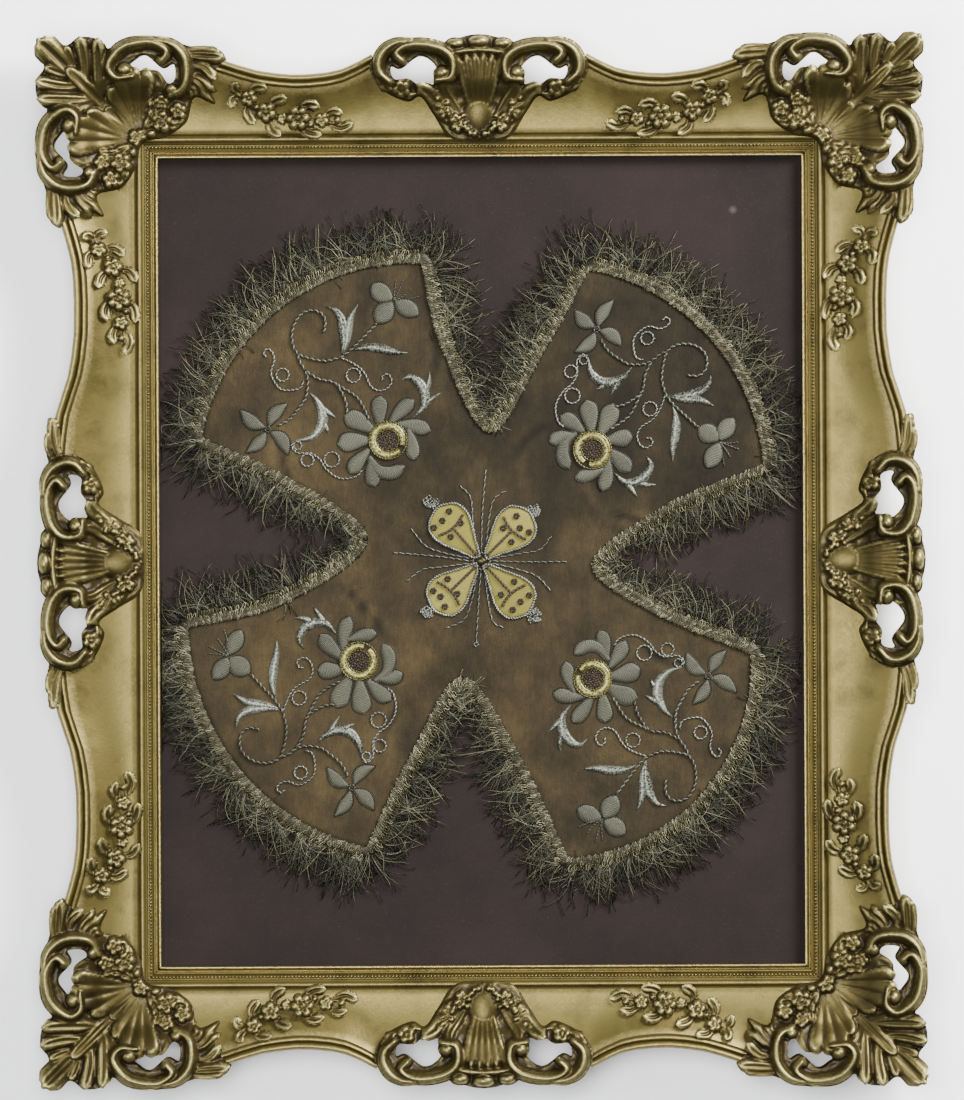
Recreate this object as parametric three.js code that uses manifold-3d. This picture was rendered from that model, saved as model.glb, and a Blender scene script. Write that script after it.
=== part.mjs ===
// A chalice veil in its frame, lying face up on its back.
// The veil is one sheet of velvet, round with four notches, edged with four lengths of metal-thread fringe.
// It lies on a cloth-covered mount board, inside a gilt slip and a swept, pierced frame.
// Millimetres, +Z up, +Y towards the top edge. The origin is the middle of the frame's flat back.
import * as THREE from "three";
import { mergeVertices } from "three/addons/utils/BufferGeometryUtils.js";
import Module from "manifold-3d";

const wasm = await Module();
wasm.setup();

// Sizes that drive the frame
const SIGHT = { width: 394, height: 495 };
const GAP = 0.3;
const FINEST = 0.3;
const RABBET = { lipInner: 4, wall: 9.3, lipUnder: 24 };
const SEAT_Z = 24.6;
const SEAT_CLEAR = 0.42;
const COVE = { start: 16, low: 30.6, rise: 12, turn: 1.42 };
const RIM = { width: 9, lift: 3.6 };
const MITRE = { gap: 0.22, past: 20, reach: 104 };
const BELOW = -5;
const ABOVE = 90;
const ORNAMENT = { reach: 74, innerZ: 31, slope: 0.2 };

// How far the rail's outer edge stands from the sight edge, along half of a rail.
// Under the pierced ornaments the rail is narrow, so that the piercings stay open.
const LONG_EDGE = [
  { along: 0, width: 41, rim: 0 },
  { along: 60, width: 41, rim: 0 },
  { along: 65, width: 66, rim: 1 },
  { along: 90, width: 63.4, rim: 1 },
  { along: 114, width: 55.6, rim: 1 },
  { along: 140, width: 51.8, rim: 1 },
  { along: 184, width: 53, rim: 1 },
  { along: 212, width: 61, rim: 1 },
  { along: 218, width: 43, rim: 0 },
  { along: 300, width: 43, rim: 0 },
];
const SHORT_EDGE = [
  { along: 0, width: 41, rim: 0 },
  { along: 59, width: 41, rim: 0 },
  { along: 63, width: 65, rim: 1 },
  { along: 74, width: 58.5, rim: 1 },
  { along: 90, width: 52.4, rim: 1 },
  { along: 110, width: 50.6, rim: 1 },
  { along: 134, width: 53, rim: 1 },
  { along: 160, width: 61, rim: 1 },
  { along: 166, width: 43, rim: 0 },
  { along: 250, width: 43, rim: 0 },
];

// Sizes that drive the mount and the veil
const MOUNT = { tuck: 8.7, boardLow: 13.4, boardThick: 5, clothThick: 0.8 };
const CLOTH_TOP = MOUNT.boardLow + MOUNT.boardThick + GAP + MOUNT.clothThick;
const OUTLINE_STEPS = { arc: 7, leg: 2 };
const VELVET = { low: CLOTH_TOP + GAP, thick: 1.3, underHeader: 1.5, cornerRound: 3 };
const HEADER = { width: 8, thick: 1.4, innerLift: 2.4, narrowest: 0.6 };
const STRAND = {
  perLobe: 56,
  length: 16.5,
  halfWidth: 1.3,
  height: 1.4,
  tipHeight: 0.8,
  sway: 1.4,
  slipGap: 0.6,
  shortest: 3,
  rootOverlap: 1,
};

// The four lobes, clockwise: two corners and the crown of the curved edge between them.
const LOBES = [
  { name: "upper_left", first: [-171, 76.4], crown: [-129, 150], last: [-36.3, 182.8] },
  { name: "upper_right", first: [67.3, 178.3], crown: [132, 145], last: [173.2, 58.5] },
  { name: "lower_right", first: [165, -58.1], crown: [129.7, -148.5], last: [52.4, -182.5] },
  { name: "lower_left", first: [-71.6, -175.5], crown: [-136, -141], last: [-179.9, -40.2] },
];
// The notch that follows each lobe: a point half way down each leg, and the apex between them.
const NOTCHES = [
  { leg: [-24.3, 132], apex: [5.5, 78.2], nextLeg: [39.6, 128.6] },
  { leg: [113.8, 33.9], apex: [67.9, -1.9], nextLeg: [103.9, -31.7] },
  { leg: [22.6, -118.8], apex: [-12.2, -71], nextLeg: [-45.4, -121] },
  { leg: [-121.8, -26.1], apex: [-69.6, 13.3], nextLeg: [-119.3, 52.4] },
];
// Soft folds in the velvet: a straight crest, its height and how wide it spreads.
const FOLDS = [
  { from: [-62, 10], to: [-22, -52], height: 1.5, spread: 7 },
  { from: [38, 44], to: [74, 26], height: 1.4, spread: 6 },
  { from: [-6, 74], to: [-40, 118], height: 1.0, spread: 9 },
  { from: [12, -48], to: [66, -36], height: 1.1, spread: 8 },
  { from: [-100, 60], to: [-48, 66], height: 0.9, spread: 9 },
  { from: [30, -92], to: [44, -140], height: 1.0, spread: 8 },
];

// Colours of the real surfaces
const gilt = () => new THREE.MeshStandardMaterial({ color: "#8a7440", roughness: 0.45, metalness: 0.7 });
const brightGilt = () =>
  new THREE.MeshStandardMaterial({ color: "#c2a25c", roughness: 0.3, metalness: 0.8 });
const board = () => new THREE.MeshStandardMaterial({ color: "#8c7a62", roughness: 0.9 });
const mountCloth = () => new THREE.MeshStandardMaterial({ color: "#43353a", roughness: 0.95 });
const velvet = () => new THREE.MeshStandardMaterial({ color: "#5f452e", roughness: 1 });
const metalThread = () =>
  new THREE.MeshStandardMaterial({ color: "#7c7858", roughness: 0.55, metalness: 0.4 });

// Vector and curve helpers
const v2 = (pair) => new THREE.Vector2(pair[0], pair[1]);
const to3 = (p, z) => new THREE.Vector3(p.x, p.y, z);
const mix = THREE.MathUtils.lerp;

function curve2(points, steps) {
  const spline = new THREE.CatmullRomCurve3(points.map((p) => to3(p, 0)), false, "catmullrom", 0.5);
  return spline.getPoints(steps).map((p) => new THREE.Vector2(p.x, p.y));
}

// A closed solid from points and triangles, turned to face outwards.
function closedSolid(points, triangles) {
  let volume = 0;
  for (const [a, b, c] of triangles) {
    volume += points[a].dot(new THREE.Vector3().crossVectors(points[b], points[c]));
  }
  const order = volume < 0 ? triangles.map(([a, b, c]) => [a, c, b]) : triangles;
  const geometry = new THREE.BufferGeometry().setFromPoints(points);
  geometry.setIndex(order.flat());
  return geometry;
}

// A solid through rings of points that all have the same count, with flat ends.
function loft(rings, sectionShape) {
  const count = rings[0].length;
  const points = rings.flat();
  const triangles = [];
  for (let r = 0; r < rings.length - 1; r++) {
    for (let i = 0; i < count; i++) {
      const j = (i + 1) % count;
      const [a, b] = [r * count + i, r * count + j];
      triangles.push([a, b, b + count], [a, b + count, a + count]);
    }
  }
  const end = (rings.length - 1) * count;
  const turn = THREE.ShapeUtils.area(sectionShape);
  for (const cap of THREE.ShapeUtils.triangulateShape(sectionShape, [])) {
    const sameWay = THREE.ShapeUtils.area(cap.map((k) => sectionShape[k])) * turn > 0;
    const [a, b, c] = sameWay ? cap : cap.reverse();
    triangles.push([c, b, a], [a + end, b + end, c + end]);
  }
  return closedSolid(points, triangles);
}

function toManifold(geometry) {
  const plain = new THREE.BufferGeometry().setAttribute("position", geometry.getAttribute("position"));
  if (geometry.index) plain.setIndex(geometry.index);
  const merged = mergeVertices(plain, 1e-4);
  return new wasm.Manifold(
    new wasm.Mesh({
      numProp: 3,
      vertProperties: Float32Array.from(merged.attributes.position.array),
      triVerts: Uint32Array.from(merged.index.array),
    }),
  );
}

function toGeometry(manifold) {
  const mesh = manifold.getMesh();
  const geometry = new THREE.BufferGeometry();
  geometry.setAttribute("position", new THREE.BufferAttribute(mesh.vertProperties.slice(), 3));
  geometry.setIndex(new THREE.BufferAttribute(mesh.triVerts.slice(), 1));
  return geometry;
}

const unite = (solids) => solids.reduce((whole, next) => whole.add(next)).simplify(FINEST);

// An upright prism over an outline, between two heights. The top may slope with y.
function prism(outline, low, high, slope = 0, holes = []) {
  const shape = new THREE.Shape(outline);
  shape.holes = holes.map((hole) => new THREE.Path(hole));
  const geometry = new THREE.ExtrudeGeometry(shape, { depth: 1, bevelEnabled: false, steps: 1 });
  const place = geometry.attributes.position;
  for (let i = 0; i < place.count; i++) {
    const top = high + slope * place.getY(i);
    place.setZ(i, place.getZ(i) > 0.5 ? top : low);
  }
  return geometry;
}

// The outline moved outwards by a small distance.
function grown(outline, distance) {
  const turn = THREE.ShapeUtils.area(outline) > 0 ? 1 : -1;
  return outline.map((p, i) => {
    const before = outline.at(i - 1);
    const after = outline[(i + 1) % outline.length];
    const inDir = p.clone().sub(before).normalize();
    const outDir = after.clone().sub(p).normalize();
    const bisector = new THREE.Vector2(inDir.y + outDir.y, -inDir.x - outDir.x).normalize();
    const stretch = 1 / Math.max(0.5, bisector.dot(new THREE.Vector2(outDir.y, -outDir.x)));
    return p.clone().addScaledVector(bisector, turn * distance * stretch);
  });
}

// A raised ridge along a curve, on the sloping top of an ornament.
function ridge(points, halfWidth, height, steps) {
  const line = curve2(points, steps);
  const section = [[-1, -0.5], [0, 1], [1, -0.5]];
  const rings = line.map((p, i) => {
    const along = line[Math.min(i + 1, line.length - 1)].clone().sub(line[Math.max(i - 1, 0)]).normalize();
    const side = new THREE.Vector2(-along.y, along.x);
    const ground = ORNAMENT.innerZ + ORNAMENT.slope * p.y;
    return section.map(([across, up]) => {
      const place = p.clone().addScaledVector(side, across * halfWidth);
      return to3(place, ground + up * height);
    });
  });
  return toManifold(loft(rings, section.map(v2)));
}

// A low dome, such as a flower, a bead or a berry.
function dome(x, y, radiusX, radiusY, height) {
  const ball = new THREE.SphereGeometry(1, 6, 4);
  ball.rotateX(Math.PI / 2);
  ball.scale(radiusX, radiusY, height);
  ball.translate(x, y, ORNAMENT.innerZ + ORNAMENT.slope * y);
  return toManifold(ball);
}

// Rails: the section lies across the rail, from the sight edge outwards.
function railSection(width, rim) {
  const coveEnd = width - RIM.width;
  const cove = [0.4, 0.72, 1].map((t) => [
    mix(COVE.start, coveEnd, t),
    COVE.low + COVE.rise * (1 - Math.cos(t * COVE.turn)),
  ]);
  const edge = cove.at(-1)[1];
  return [
    [RABBET.lipInner, RABBET.lipUnder],
    [RABBET.lipInner, 27.2],
    [5.4, 29],
    [8.2, 29],
    [9.6, 27.8],
    [13, 30.3],
    ...cove,
    [width - 6.8, edge + RIM.lift * rim + 0.4],
    [width - 2.2, edge + (RIM.lift + 0.5) * rim + 0.4],
    [width, edge - 2],
    [width - 6, 0],
    [RABBET.wall, 0],
    [RABBET.wall, RABBET.lipUnder],
  ];
}

function railSolid(edge, halfSight, footprints) {
  const half = edge.filter((row) => row.along > 0);
  const stations = [
    ...half.map((row) => ({ ...row, along: -row.along })).reverse(),
    ...edge,
  ];
  const rings = stations.map((row) =>
    railSection(row.width, row.rim).map(([across, z]) => new THREE.Vector3(row.along, across, z)),
  );
  const flat = railSection(edge[0].width, 0).map(v2);
  let rail = toManifold(loft(rings, flat));
  for (const side of [-1, 1]) {
    const start = halfSight - MITRE.gap;
    const wedge = [
      new THREE.Vector2(side * (start - MITRE.past), -MITRE.past),
      new THREE.Vector2(side * (start + MITRE.reach), MITRE.reach),
      new THREE.Vector2(side * (start + MITRE.reach * 2), -MITRE.past),
    ];
    rail = rail.subtract(toManifold(prism(wedge, BELOW, ABOVE)));
  }
  for (const footprint of footprints) {
    rail = rail.subtract(toManifold(prism(footprint, SEAT_Z - GAP, ABOVE)));
  }
  return rail;
}

// The bright slip that stands inside the rails, with mitred ends.
function slipSolid(halfSight) {
  const low = CLOTH_TOP + GAP;
  const under = RABBET.lipUnder - GAP;
  const section = [
    [0, low], [MOUNT.tuck, low], [MOUNT.tuck, under], [3.7, under], [3.7, 26.6], [2, 27.4], [0, 26],
  ];
  const rings = [-1, 1].map((side) =>
    section.map(([across, z]) => new THREE.Vector3(side * (halfSight + across - MITRE.gap), across, z)),
  );
  return loft(rings, section.map(v2));
}

// Corner ornament: measured from the outermost lines of the frame, for the upper half.
// The other half is its mirror image across the diagonal.
const CORNER_EDGE = [
  { along: 2.6, depth: 2.6 }, { along: 12, depth: 0.4 }, { along: 18.3, depth: 5.5 },
  { along: 27, depth: 0.4 }, { along: 37, depth: 1.2 }, { along: 45, depth: 7.3 },
  { along: 58, depth: 2.8 }, { along: 74, depth: 2 }, { along: 92, depth: 5.4 },
  { along: 106, depth: 10.6 }, { along: 111, depth: 8 }, { along: 116, depth: 13.4 },
  { along: 108, depth: 22.5 }, { along: 105, depth: 30 }, { along: 109.5, depth: 41 },
  { along: 96.5, depth: 37 }, { along: 91.5, depth: 52 }, { along: 78, depth: 61 },
  { along: 64.5, depth: 64.5 },
];
const CORNER_HOLE = [
  { along: 55.5, depth: 18.5 }, { along: 60, depth: 13.5 }, { along: 67, depth: 10.6 },
  { along: 77, depth: 18.5 }, { along: 84, depth: 16 }, { along: 85.3, depth: 25 },
  { along: 81, depth: 28.6 }, { along: 74, depth: 20.5 }, { along: 60.5, depth: 23 },
];
const fromCorner = ({ along, depth }) => new THREE.Vector2(ORNAMENT.reach - along, ORNAMENT.reach - depth);

// Each ridge runs through points given as along and depth.
const CORNER_STROKES = [
  { line: [[53, 27], [46, 24], [48, 11], [62, 5], [76, 8]], half: 3, up: 3.4, steps: 5 },
  { line: [[80, 5.5], [90, 15], [91.5, 31]], half: 3.4, up: 3.6, steps: 3 },
  { line: [[92, 9], [112, 13]], half: 3, up: 4.2, steps: 1 },
  { line: [[96, 15], [99, 27], [106, 39]], half: 3.4, up: 3.4, steps: 2 },
  { line: [[28, 5], [33, 25]], half: 3.6, up: 3.4, steps: 1 },
  { line: [[38, 6], [41, 29]], half: 3.8, up: 3.8, steps: 1 },
  { line: [[61, 52], [68, 24]], half: 4.6, up: 2.6, steps: 1 },
];
const CORNER_DOMES = [
  { along: 77, depth: 52, radius: 7.5, up: 7 },
  { along: 86, depth: 46, radius: 5.5, up: 6 },
];
// On the diagonal: a bud in the outermost corner, a leaf behind it and a boss near the sight edge.
const CORNER_DIAGONAL = {
  bosses: [
    { depth: 12, radius: 9, up: 9 },
    { depth: 58.5, radius: 7, up: 8 },
  ],
  stem: { from: 14, to: 40, half: 5, up: 4.4 },
};

function cornerOrnament() {
  const edge = CORNER_EDGE.map(fromCorner);
  const hole = CORNER_HOLE.map(fromCorner);
  const plate = toManifold(prism(edge, SEAT_Z, ORNAMENT.innerZ, ORNAMENT.slope, [hole]));
  const upper = [plate];
  for (const stroke of CORNER_STROKES) {
    const line = stroke.line.map(([along, depth]) => fromCorner({ along, depth }));
    upper.push(ridge(line, stroke.half, stroke.up, stroke.steps));
  }
  for (const row of CORNER_DOMES) {
    const place = fromCorner(row);
    upper.push(dome(place.x, place.y, row.radius, row.radius, row.up));
  }
  const footprint = toManifold(prism(edge, BELOW, ABOVE));
  const half = toGeometry(unite(upper).intersect(footprint));
  // Swapping x and y mirrors across the diagonal, and the winding is turned to match.
  const mirrored = half.clone();
  const place = mirrored.attributes.position;
  for (let i = 0; i < place.count; i++) {
    place.setXY(i, half.attributes.position.getY(i), half.attributes.position.getX(i));
  }
  const index = Array.from(mirrored.index.array);
  for (let i = 0; i < index.length; i += 3) {
    [index[i + 1], index[i + 2]] = [index[i + 2], index[i + 1]];
  }
  mirrored.setIndex(index);
  const onDiagonal = ({ depth }) => fromCorner({ along: depth, depth });
  const bosses = CORNER_DIAGONAL.bosses.map((row) => {
    const middle = onDiagonal(row);
    return dome(middle.x, middle.y, row.radius, row.radius, row.up);
  });
  const { stem } = CORNER_DIAGONAL;
  const stemLine = [{ depth: stem.from }, { depth: stem.to }].map(onDiagonal);
  const leaf = ridge(stemLine, stem.half, stem.up, 1);
  const whole = unite([toManifold(half), toManifold(mirrored), leaf, ...bosses]);
  const outline = toManifold(prism(cornerOutline(), BELOW, ABOVE));
  return { geometry: toGeometry(whole.intersect(outline)), footprint: cornerOutline() };
}

function cornerOutline() {
  const upper = CORNER_EDGE.map(fromCorner);
  const lower = upper.slice(1, -1).map((p) => new THREE.Vector2(p.y, p.x)).reverse();
  return [...upper, ...lower];
}

// Crest ornament at the middle of each rail: x along the rail, y outwards from the sight edge.
const CREST_EDGE = [
  { along: 0, out: 9.5 }, { along: 18, out: 12 }, { along: 28, out: 26 }, { along: 36, out: 37 },
  { along: 44, out: 34 }, { along: 59, out: 41 }, { along: 66.5, out: 52 }, { along: 65.5, out: 60 },
];
const CREST_LEAF = [
  { along: 74, out: 61 }, { along: 89, out: 64.5 }, { along: 80, out: 68 }, { along: 68, out: 68.5 },
];
const CREST_TOP = [
  { along: 58, out: 67 }, { along: 46, out: 71 }, { along: 30, out: 70 }, { along: 23, out: 68 },
  { along: 14, out: 71.5 }, { along: 6, out: 73.8 }, { along: 0, out: 74 },
];
const CREST_HOLE = [
  { along: 24.7, out: 52 }, { along: 29, out: 59 }, { along: 37, out: 62 }, { along: 48, out: 54.5 },
  { along: 54, out: 56 }, { along: 52, out: 47.5 }, { along: 43, out: 47.6 }, { along: 35, out: 42.6 },
  { along: 26, out: 45.4 },
];
// Each ridge runs through points given as along and out.
const CREST_STROKES = [
  { line: [[20, 47], [16, 56], [24, 66.5], [42, 68]], half: 3, up: 3.4, steps: 4 },
  { line: [[50, 68], [60, 58], [58, 44]], half: 3.6, up: 3.4, steps: 3 },
  { line: [[6, 30], [10, 60]], half: 2.6, up: 2.6, steps: 1 },
];
const CREST_SIDE_DOMES = [
  { along: 12.8, out: 66.8, wide: 7, deep: 4.4, up: 6 },
  { along: 21, out: 21, wide: 6, deep: 6.5, up: 6 },
];
const CREST_MIDDLE_DOMES = [
  { out: 69, wide: 7.4, deep: 5, up: 6.5 },
  { out: 24, wide: 10, deep: 9, up: 8 },
];
const CREST_MIDDLE_RIB = { middle: [[0, 30], [0, 60]], half: 2.6, up: 3.2 };

function crestOrnament(hasLeaf) {
  const place = ({ along, out }) => new THREE.Vector2(along, out);
  const right = [...CREST_EDGE, ...(hasLeaf ? CREST_LEAF : []), ...CREST_TOP].map(place);
  const left = right.slice(1, -1).map((p) => new THREE.Vector2(-p.x, p.y)).reverse();
  const footprint = [...right, ...left];
  const hole = CREST_HOLE.map(place);
  const otherHole = hole.map((p) => new THREE.Vector2(-p.x, p.y)).reverse();
  const parts = [toManifold(prism(footprint, SEAT_Z, ORNAMENT.innerZ, ORNAMENT.slope, [hole, otherHole]))];
  for (const side of [-1, 1]) {
    for (const stroke of CREST_STROKES) {
      const line = stroke.line.map(([x, y]) => new THREE.Vector2(side * x, y));
      parts.push(ridge(line, stroke.half, stroke.up, stroke.steps));
    }
    for (const row of CREST_SIDE_DOMES) {
      parts.push(dome(side * row.along, row.out, row.wide, row.deep, row.up));
    }
  }
  for (const row of CREST_MIDDLE_DOMES) {
    parts.push(dome(0, row.out, row.wide, row.deep, row.up));
  }
  const { middle } = CREST_MIDDLE_RIB;
  parts.push(ridge(middle.map(v2), CREST_MIDDLE_RIB.half, CREST_MIDDLE_RIB.up, 1));
  const outline = toManifold(prism(footprint, BELOW, ABOVE));
  return { geometry: toGeometry(unite(parts).intersect(outline)), footprint };
}

// The veil's outline: curved outer edges through three points, and smooth notches between them.
function arcThrough(a, b, c, steps) {
  const d = 2 * (a.x * (b.y - c.y) + b.x * (c.y - a.y) + c.x * (a.y - b.y));
  const [aa, bb, cc] = [a.lengthSq(), b.lengthSq(), c.lengthSq()];
  const centre = new THREE.Vector2(
    (aa * (b.y - c.y) + bb * (c.y - a.y) + cc * (a.y - b.y)) / d,
    (aa * (c.x - b.x) + bb * (a.x - c.x) + cc * (b.x - a.x)) / d,
  );
  const radius = a.distanceTo(centre);
  const start = a.clone().sub(centre).angle();
  let sweep = c.clone().sub(centre).angle() - start;
  if (sweep > 0) sweep -= 2 * Math.PI;
  return Array.from({ length: steps + 1 }, (_, i) => {
    const angle = start + (sweep * i) / steps;
    return new THREE.Vector2(centre.x + radius * Math.cos(angle), centre.y + radius * Math.sin(angle));
  });
}

function rounded(before, corner, after, radius, steps) {
  const from = corner.clone().add(before.clone().sub(corner).setLength(radius));
  const to = corner.clone().add(after.clone().sub(corner).setLength(radius));
  return new THREE.QuadraticBezierCurve(from, corner, to).getPoints(steps);
}

// One lobe's share of the outline, from the apex before it to the apex after it.
function lobeLine(index) {
  const { arc: arcSteps, leg: legSteps } = OUTLINE_STEPS;
  const lobe = LOBES[index];
  const notchBefore = NOTCHES[(index + 3) % 4];
  const notchAfter = NOTCHES[index];
  const lastOf = v2(LOBES[(index + 3) % 4].last);
  const firstOf = v2(LOBES[(index + 1) % 4].first);
  const [first, crown, last] = [v2(lobe.first), v2(lobe.crown), v2(lobe.last)];
  const through = ({ leg, apex, nextLeg }) => [leg, apex, nextLeg].map(v2);
  const before = curve2([lastOf, ...through(notchBefore), first], legSteps * 4);
  const after = curve2([last, ...through(notchAfter), firstOf], legSteps * 4);
  const inward = before.slice(legSteps * 2);
  const outward = after.slice(0, legSteps * 2 + 1);
  const arc = arcThrough(first, crown, last, arcSteps);
  return [
    ...inward.slice(0, -1),
    ...rounded(inward.at(-2), first, arc[1], VELVET.cornerRound, 2),
    ...arc.slice(1, -1),
    ...rounded(arc.at(-2), last, outward[1], VELVET.cornerRound, 2),
    ...outward.slice(1),
  ];
}

// Outward normals of a clockwise line.
function outwardNormals(line) {
  return line.map((p, i) => {
    const along = line[Math.min(i + 1, line.length - 1)].clone().sub(line[Math.max(i - 1, 0)]).normalize();
    return new THREE.Vector2(-along.y, along.x);
  });
}

function foldHeight(p) {
  let height = 0;
  for (const fold of FOLDS) {
    const [from, to] = [v2(fold.from), v2(fold.to)];
    const along = to.clone().sub(from);
    const t = THREE.MathUtils.clamp(p.clone().sub(from).dot(along) / along.lengthSq(), 0, 1);
    const away = p.distanceTo(from.addScaledVector(along, t));
    height += fold.height * Math.exp(-((away / fold.spread) ** 2));
  }
  return height;
}

// The velvet: rings of points from the middle to the edge, above and below.
function velvetSolid() {
  const edge = LOBES.flatMap((_, i) => {
    const line = lobeLine(i);
    const normals = outwardNormals(line);
    return line.map((p, k) => p.clone().addScaledVector(normals[k], VELVET.underHeader)).slice(0, -1);
  });
  const shares = [0.3, 0.55, 0.8, 1];
  const layer = (lift) => {
    const at = (p, calm) => to3(p, VELVET.low + lift + foldHeight(p) * calm);
    return [
      at(new THREE.Vector2(0, 0), 1),
      ...shares.flatMap((share) => edge.map((p) => at(p.clone().multiplyScalar(share), 1 - share ** 4))),
    ];
  };
  const bottom = layer(0);
  const top = layer(VELVET.thick);
  const count = edge.length;
  const triangles = [];
  for (let i = 0; i < count; i++) {
    const j = (i + 1) % count;
    triangles.push([0, 1 + i, 1 + j]);
    for (let s = 0; s < shares.length - 1; s++) {
      const [a, b] = [1 + s * count + i, 1 + s * count + j];
      triangles.push([a, b + count, b], [a, a + count, b + count]);
    }
  }
  const under = bottom.length;
  const faceDown = triangles.map(([a, b, c]) => [a, c, b]);
  const faceUp = triangles.map((triangle) => triangle.map((k) => k + under));
  const both = [...faceDown, ...faceUp];
  const rim = 1 + (shares.length - 1) * count;
  for (let i = 0; i < count; i++) {
    const j = (i + 1) % count;
    const [a, b] = [rim + i, rim + j];
    both.push([a, b, b + under], [a, b + under, a + under]);
  }
  return closedSolid([...bottom, ...top], both);
}

// How far a point may move along a direction before it meets a line through an apex.
function roomTo(p, direction, apex, axis) {
  const normal = new THREE.Vector2(-axis.y, axis.x);
  const away = p.clone().sub(apex).dot(normal);
  const closing = -direction.dot(normal) * Math.sign(away);
  return closing > 1e-6 ? (Math.abs(away) - GAP) / closing : Infinity;
}

// How far a point may move along a direction before it meets the slip.
function roomToSlip(p, direction) {
  const across = (Math.sign(direction.x) * SIGHT.width) / 2 - p.x;
  const upward = (Math.sign(direction.y) * SIGHT.height) / 2 - p.y;
  return Math.min(across / (direction.x || 1e-9), upward / (direction.y || 1e-9)) - STRAND.slipGap;
}

// The line down the middle of a notch, from its apex out.
function notchLine(notch) {
  const apex = v2(notch.apex);
  const mouth = v2(notch.leg).add(v2(notch.nextLeg)).multiplyScalar(0.5);
  return { apex, axis: mouth.sub(apex).normalize() };
}

// One length of fringe: a flat header along the velvet's edge, and locks that stand out from it.
function fringeSolid(index) {
  const line = lobeLine(index);
  const normals = outwardNormals(line);
  const ends = [NOTCHES[(index + 3) % 4], NOTCHES[index]].map(notchLine);
  const room = (p, direction) => Math.min(...ends.map((end) => roomTo(p, direction, end.apex, end.axis)));
  const inset = line.slice(1, -1);
  const rings = inset.map((p, k) => {
    const normal = normals[k + 1];
    const width = Math.max(HEADER.narrowest, Math.min(HEADER.width, room(p, normal)));
    const outer = p.clone().addScaledVector(normal, width);
    const low = VELVET.low + HEADER.innerLift * (1 - width / HEADER.width);
    return [
      to3(p, VELVET.low + HEADER.innerLift),
      to3(p, VELVET.low + HEADER.innerLift + HEADER.thick),
      to3(outer, low + HEADER.thick),
      to3(outer, low),
    ];
  });
  const section = [[0, 0], [0, 1], [1, 1], [1, 0]].map(v2);
  const parts = [toManifold(loft(rings, section))];
  const path = new THREE.CatmullRomCurve3(inset.map((p) => to3(p, 0)), false, "centripetal");
  for (let i = 0; i < STRAND.perLobe; i++) {
    const t = (i + 0.5) / STRAND.perLobe;
    const at = path.getPointAt(t);
    const along = path.getTangentAt(t);
    const p = new THREE.Vector2(at.x, at.y);
    const tangent = new THREE.Vector2(along.x, along.y);
    const normal = new THREE.Vector2(-along.y, along.x);
    const free = Math.min(room(p, normal), roomToSlip(p, normal)) - HEADER.width - STRAND.rootOverlap;
    const length = Math.min(STRAND.length * (0.86 + 0.14 * Math.sin(i * 2.4)), free);
    if (length < STRAND.shortest) continue;
    const lean = STRAND.sway * Math.sin(i * 0.55);
    const lockEnds = [
      {
        at: p.clone().addScaledVector(normal, HEADER.width - STRAND.rootOverlap),
        half: STRAND.halfWidth,
        lift: STRAND.height,
      },
      {
        at: p.clone().addScaledVector(normal, HEADER.width + length).addScaledVector(tangent, lean),
        half: STRAND.halfWidth * 0.5,
        lift: STRAND.tipHeight,
      },
    ];
    const locks = lockEnds.map(({ at: c, half, lift }) => [
      to3(c.clone().addScaledVector(tangent, -half), VELVET.low),
      to3(c, VELVET.low + lift),
      to3(c.clone().addScaledVector(tangent, half), VELVET.low),
    ]);
    parts.push(toManifold(loft(locks, [[-1, 0], [0, 1], [1, 0]].map(v2))));
  }
  return toGeometry(unite(parts));
}

// Everything is placed in one group.
const veil = new THREE.Group();

function addMesh(name, geometry, material, parent = veil) {
  const flat = geometry.index ? geometry.toNonIndexed() : geometry;
  const bare = new THREE.BufferGeometry().setAttribute("position", flat.getAttribute("position"));
  bare.computeVertexNormals();
  const mesh = new THREE.Mesh(bare, material);
  mesh.name = name;
  parent.add(mesh);
  return mesh;
}

const halfWide = SIGHT.width / 2;
const halfTall = SIGHT.height / 2;
const corner = cornerOrnament();
const shortCrest = crestOrnament(false);
const longCrest = crestOrnament(true);

// The seats that a rail needs, in the rail's own frame: both corners and its crest.
function seatsOf(halfSight, crest) {
  const corners = [-1, 1].map((side) =>
    corner.footprint.map((p) => new THREE.Vector2(side * (p.x + halfSight), p.y)),
  );
  return [crest.footprint, ...corners].map((outline) => grown(outline, SEAT_CLEAR));
}

const SIDES = [
  { name: "top", turn: 0, x: 0, y: halfTall, edge: SHORT_EDGE, half: halfWide, crest: shortCrest },
  { name: "left", turn: Math.PI / 2, x: -halfWide, y: 0, edge: LONG_EDGE, half: halfTall, crest: longCrest },
  { name: "bottom", turn: Math.PI, x: 0, y: -halfTall, edge: SHORT_EDGE, half: halfWide, crest: shortCrest },
  { name: "right", turn: -Math.PI / 2, x: halfWide, y: 0, edge: LONG_EDGE, half: halfTall, crest: longCrest },
];
for (const side of SIDES) {
  const group = new THREE.Group();
  group.rotation.z = side.turn;
  group.position.set(side.x, side.y, 0);
  veil.add(group);
  const rail = railSolid(side.edge, side.half, seatsOf(side.half, side.crest));
  addMesh("rail_" + side.name, toGeometry(rail), gilt(), group);
  addMesh("slip_" + side.name, slipSolid(side.half), brightGilt(), group);
  addMesh("crest_" + side.name, side.crest.geometry, gilt(), group);
}

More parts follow.
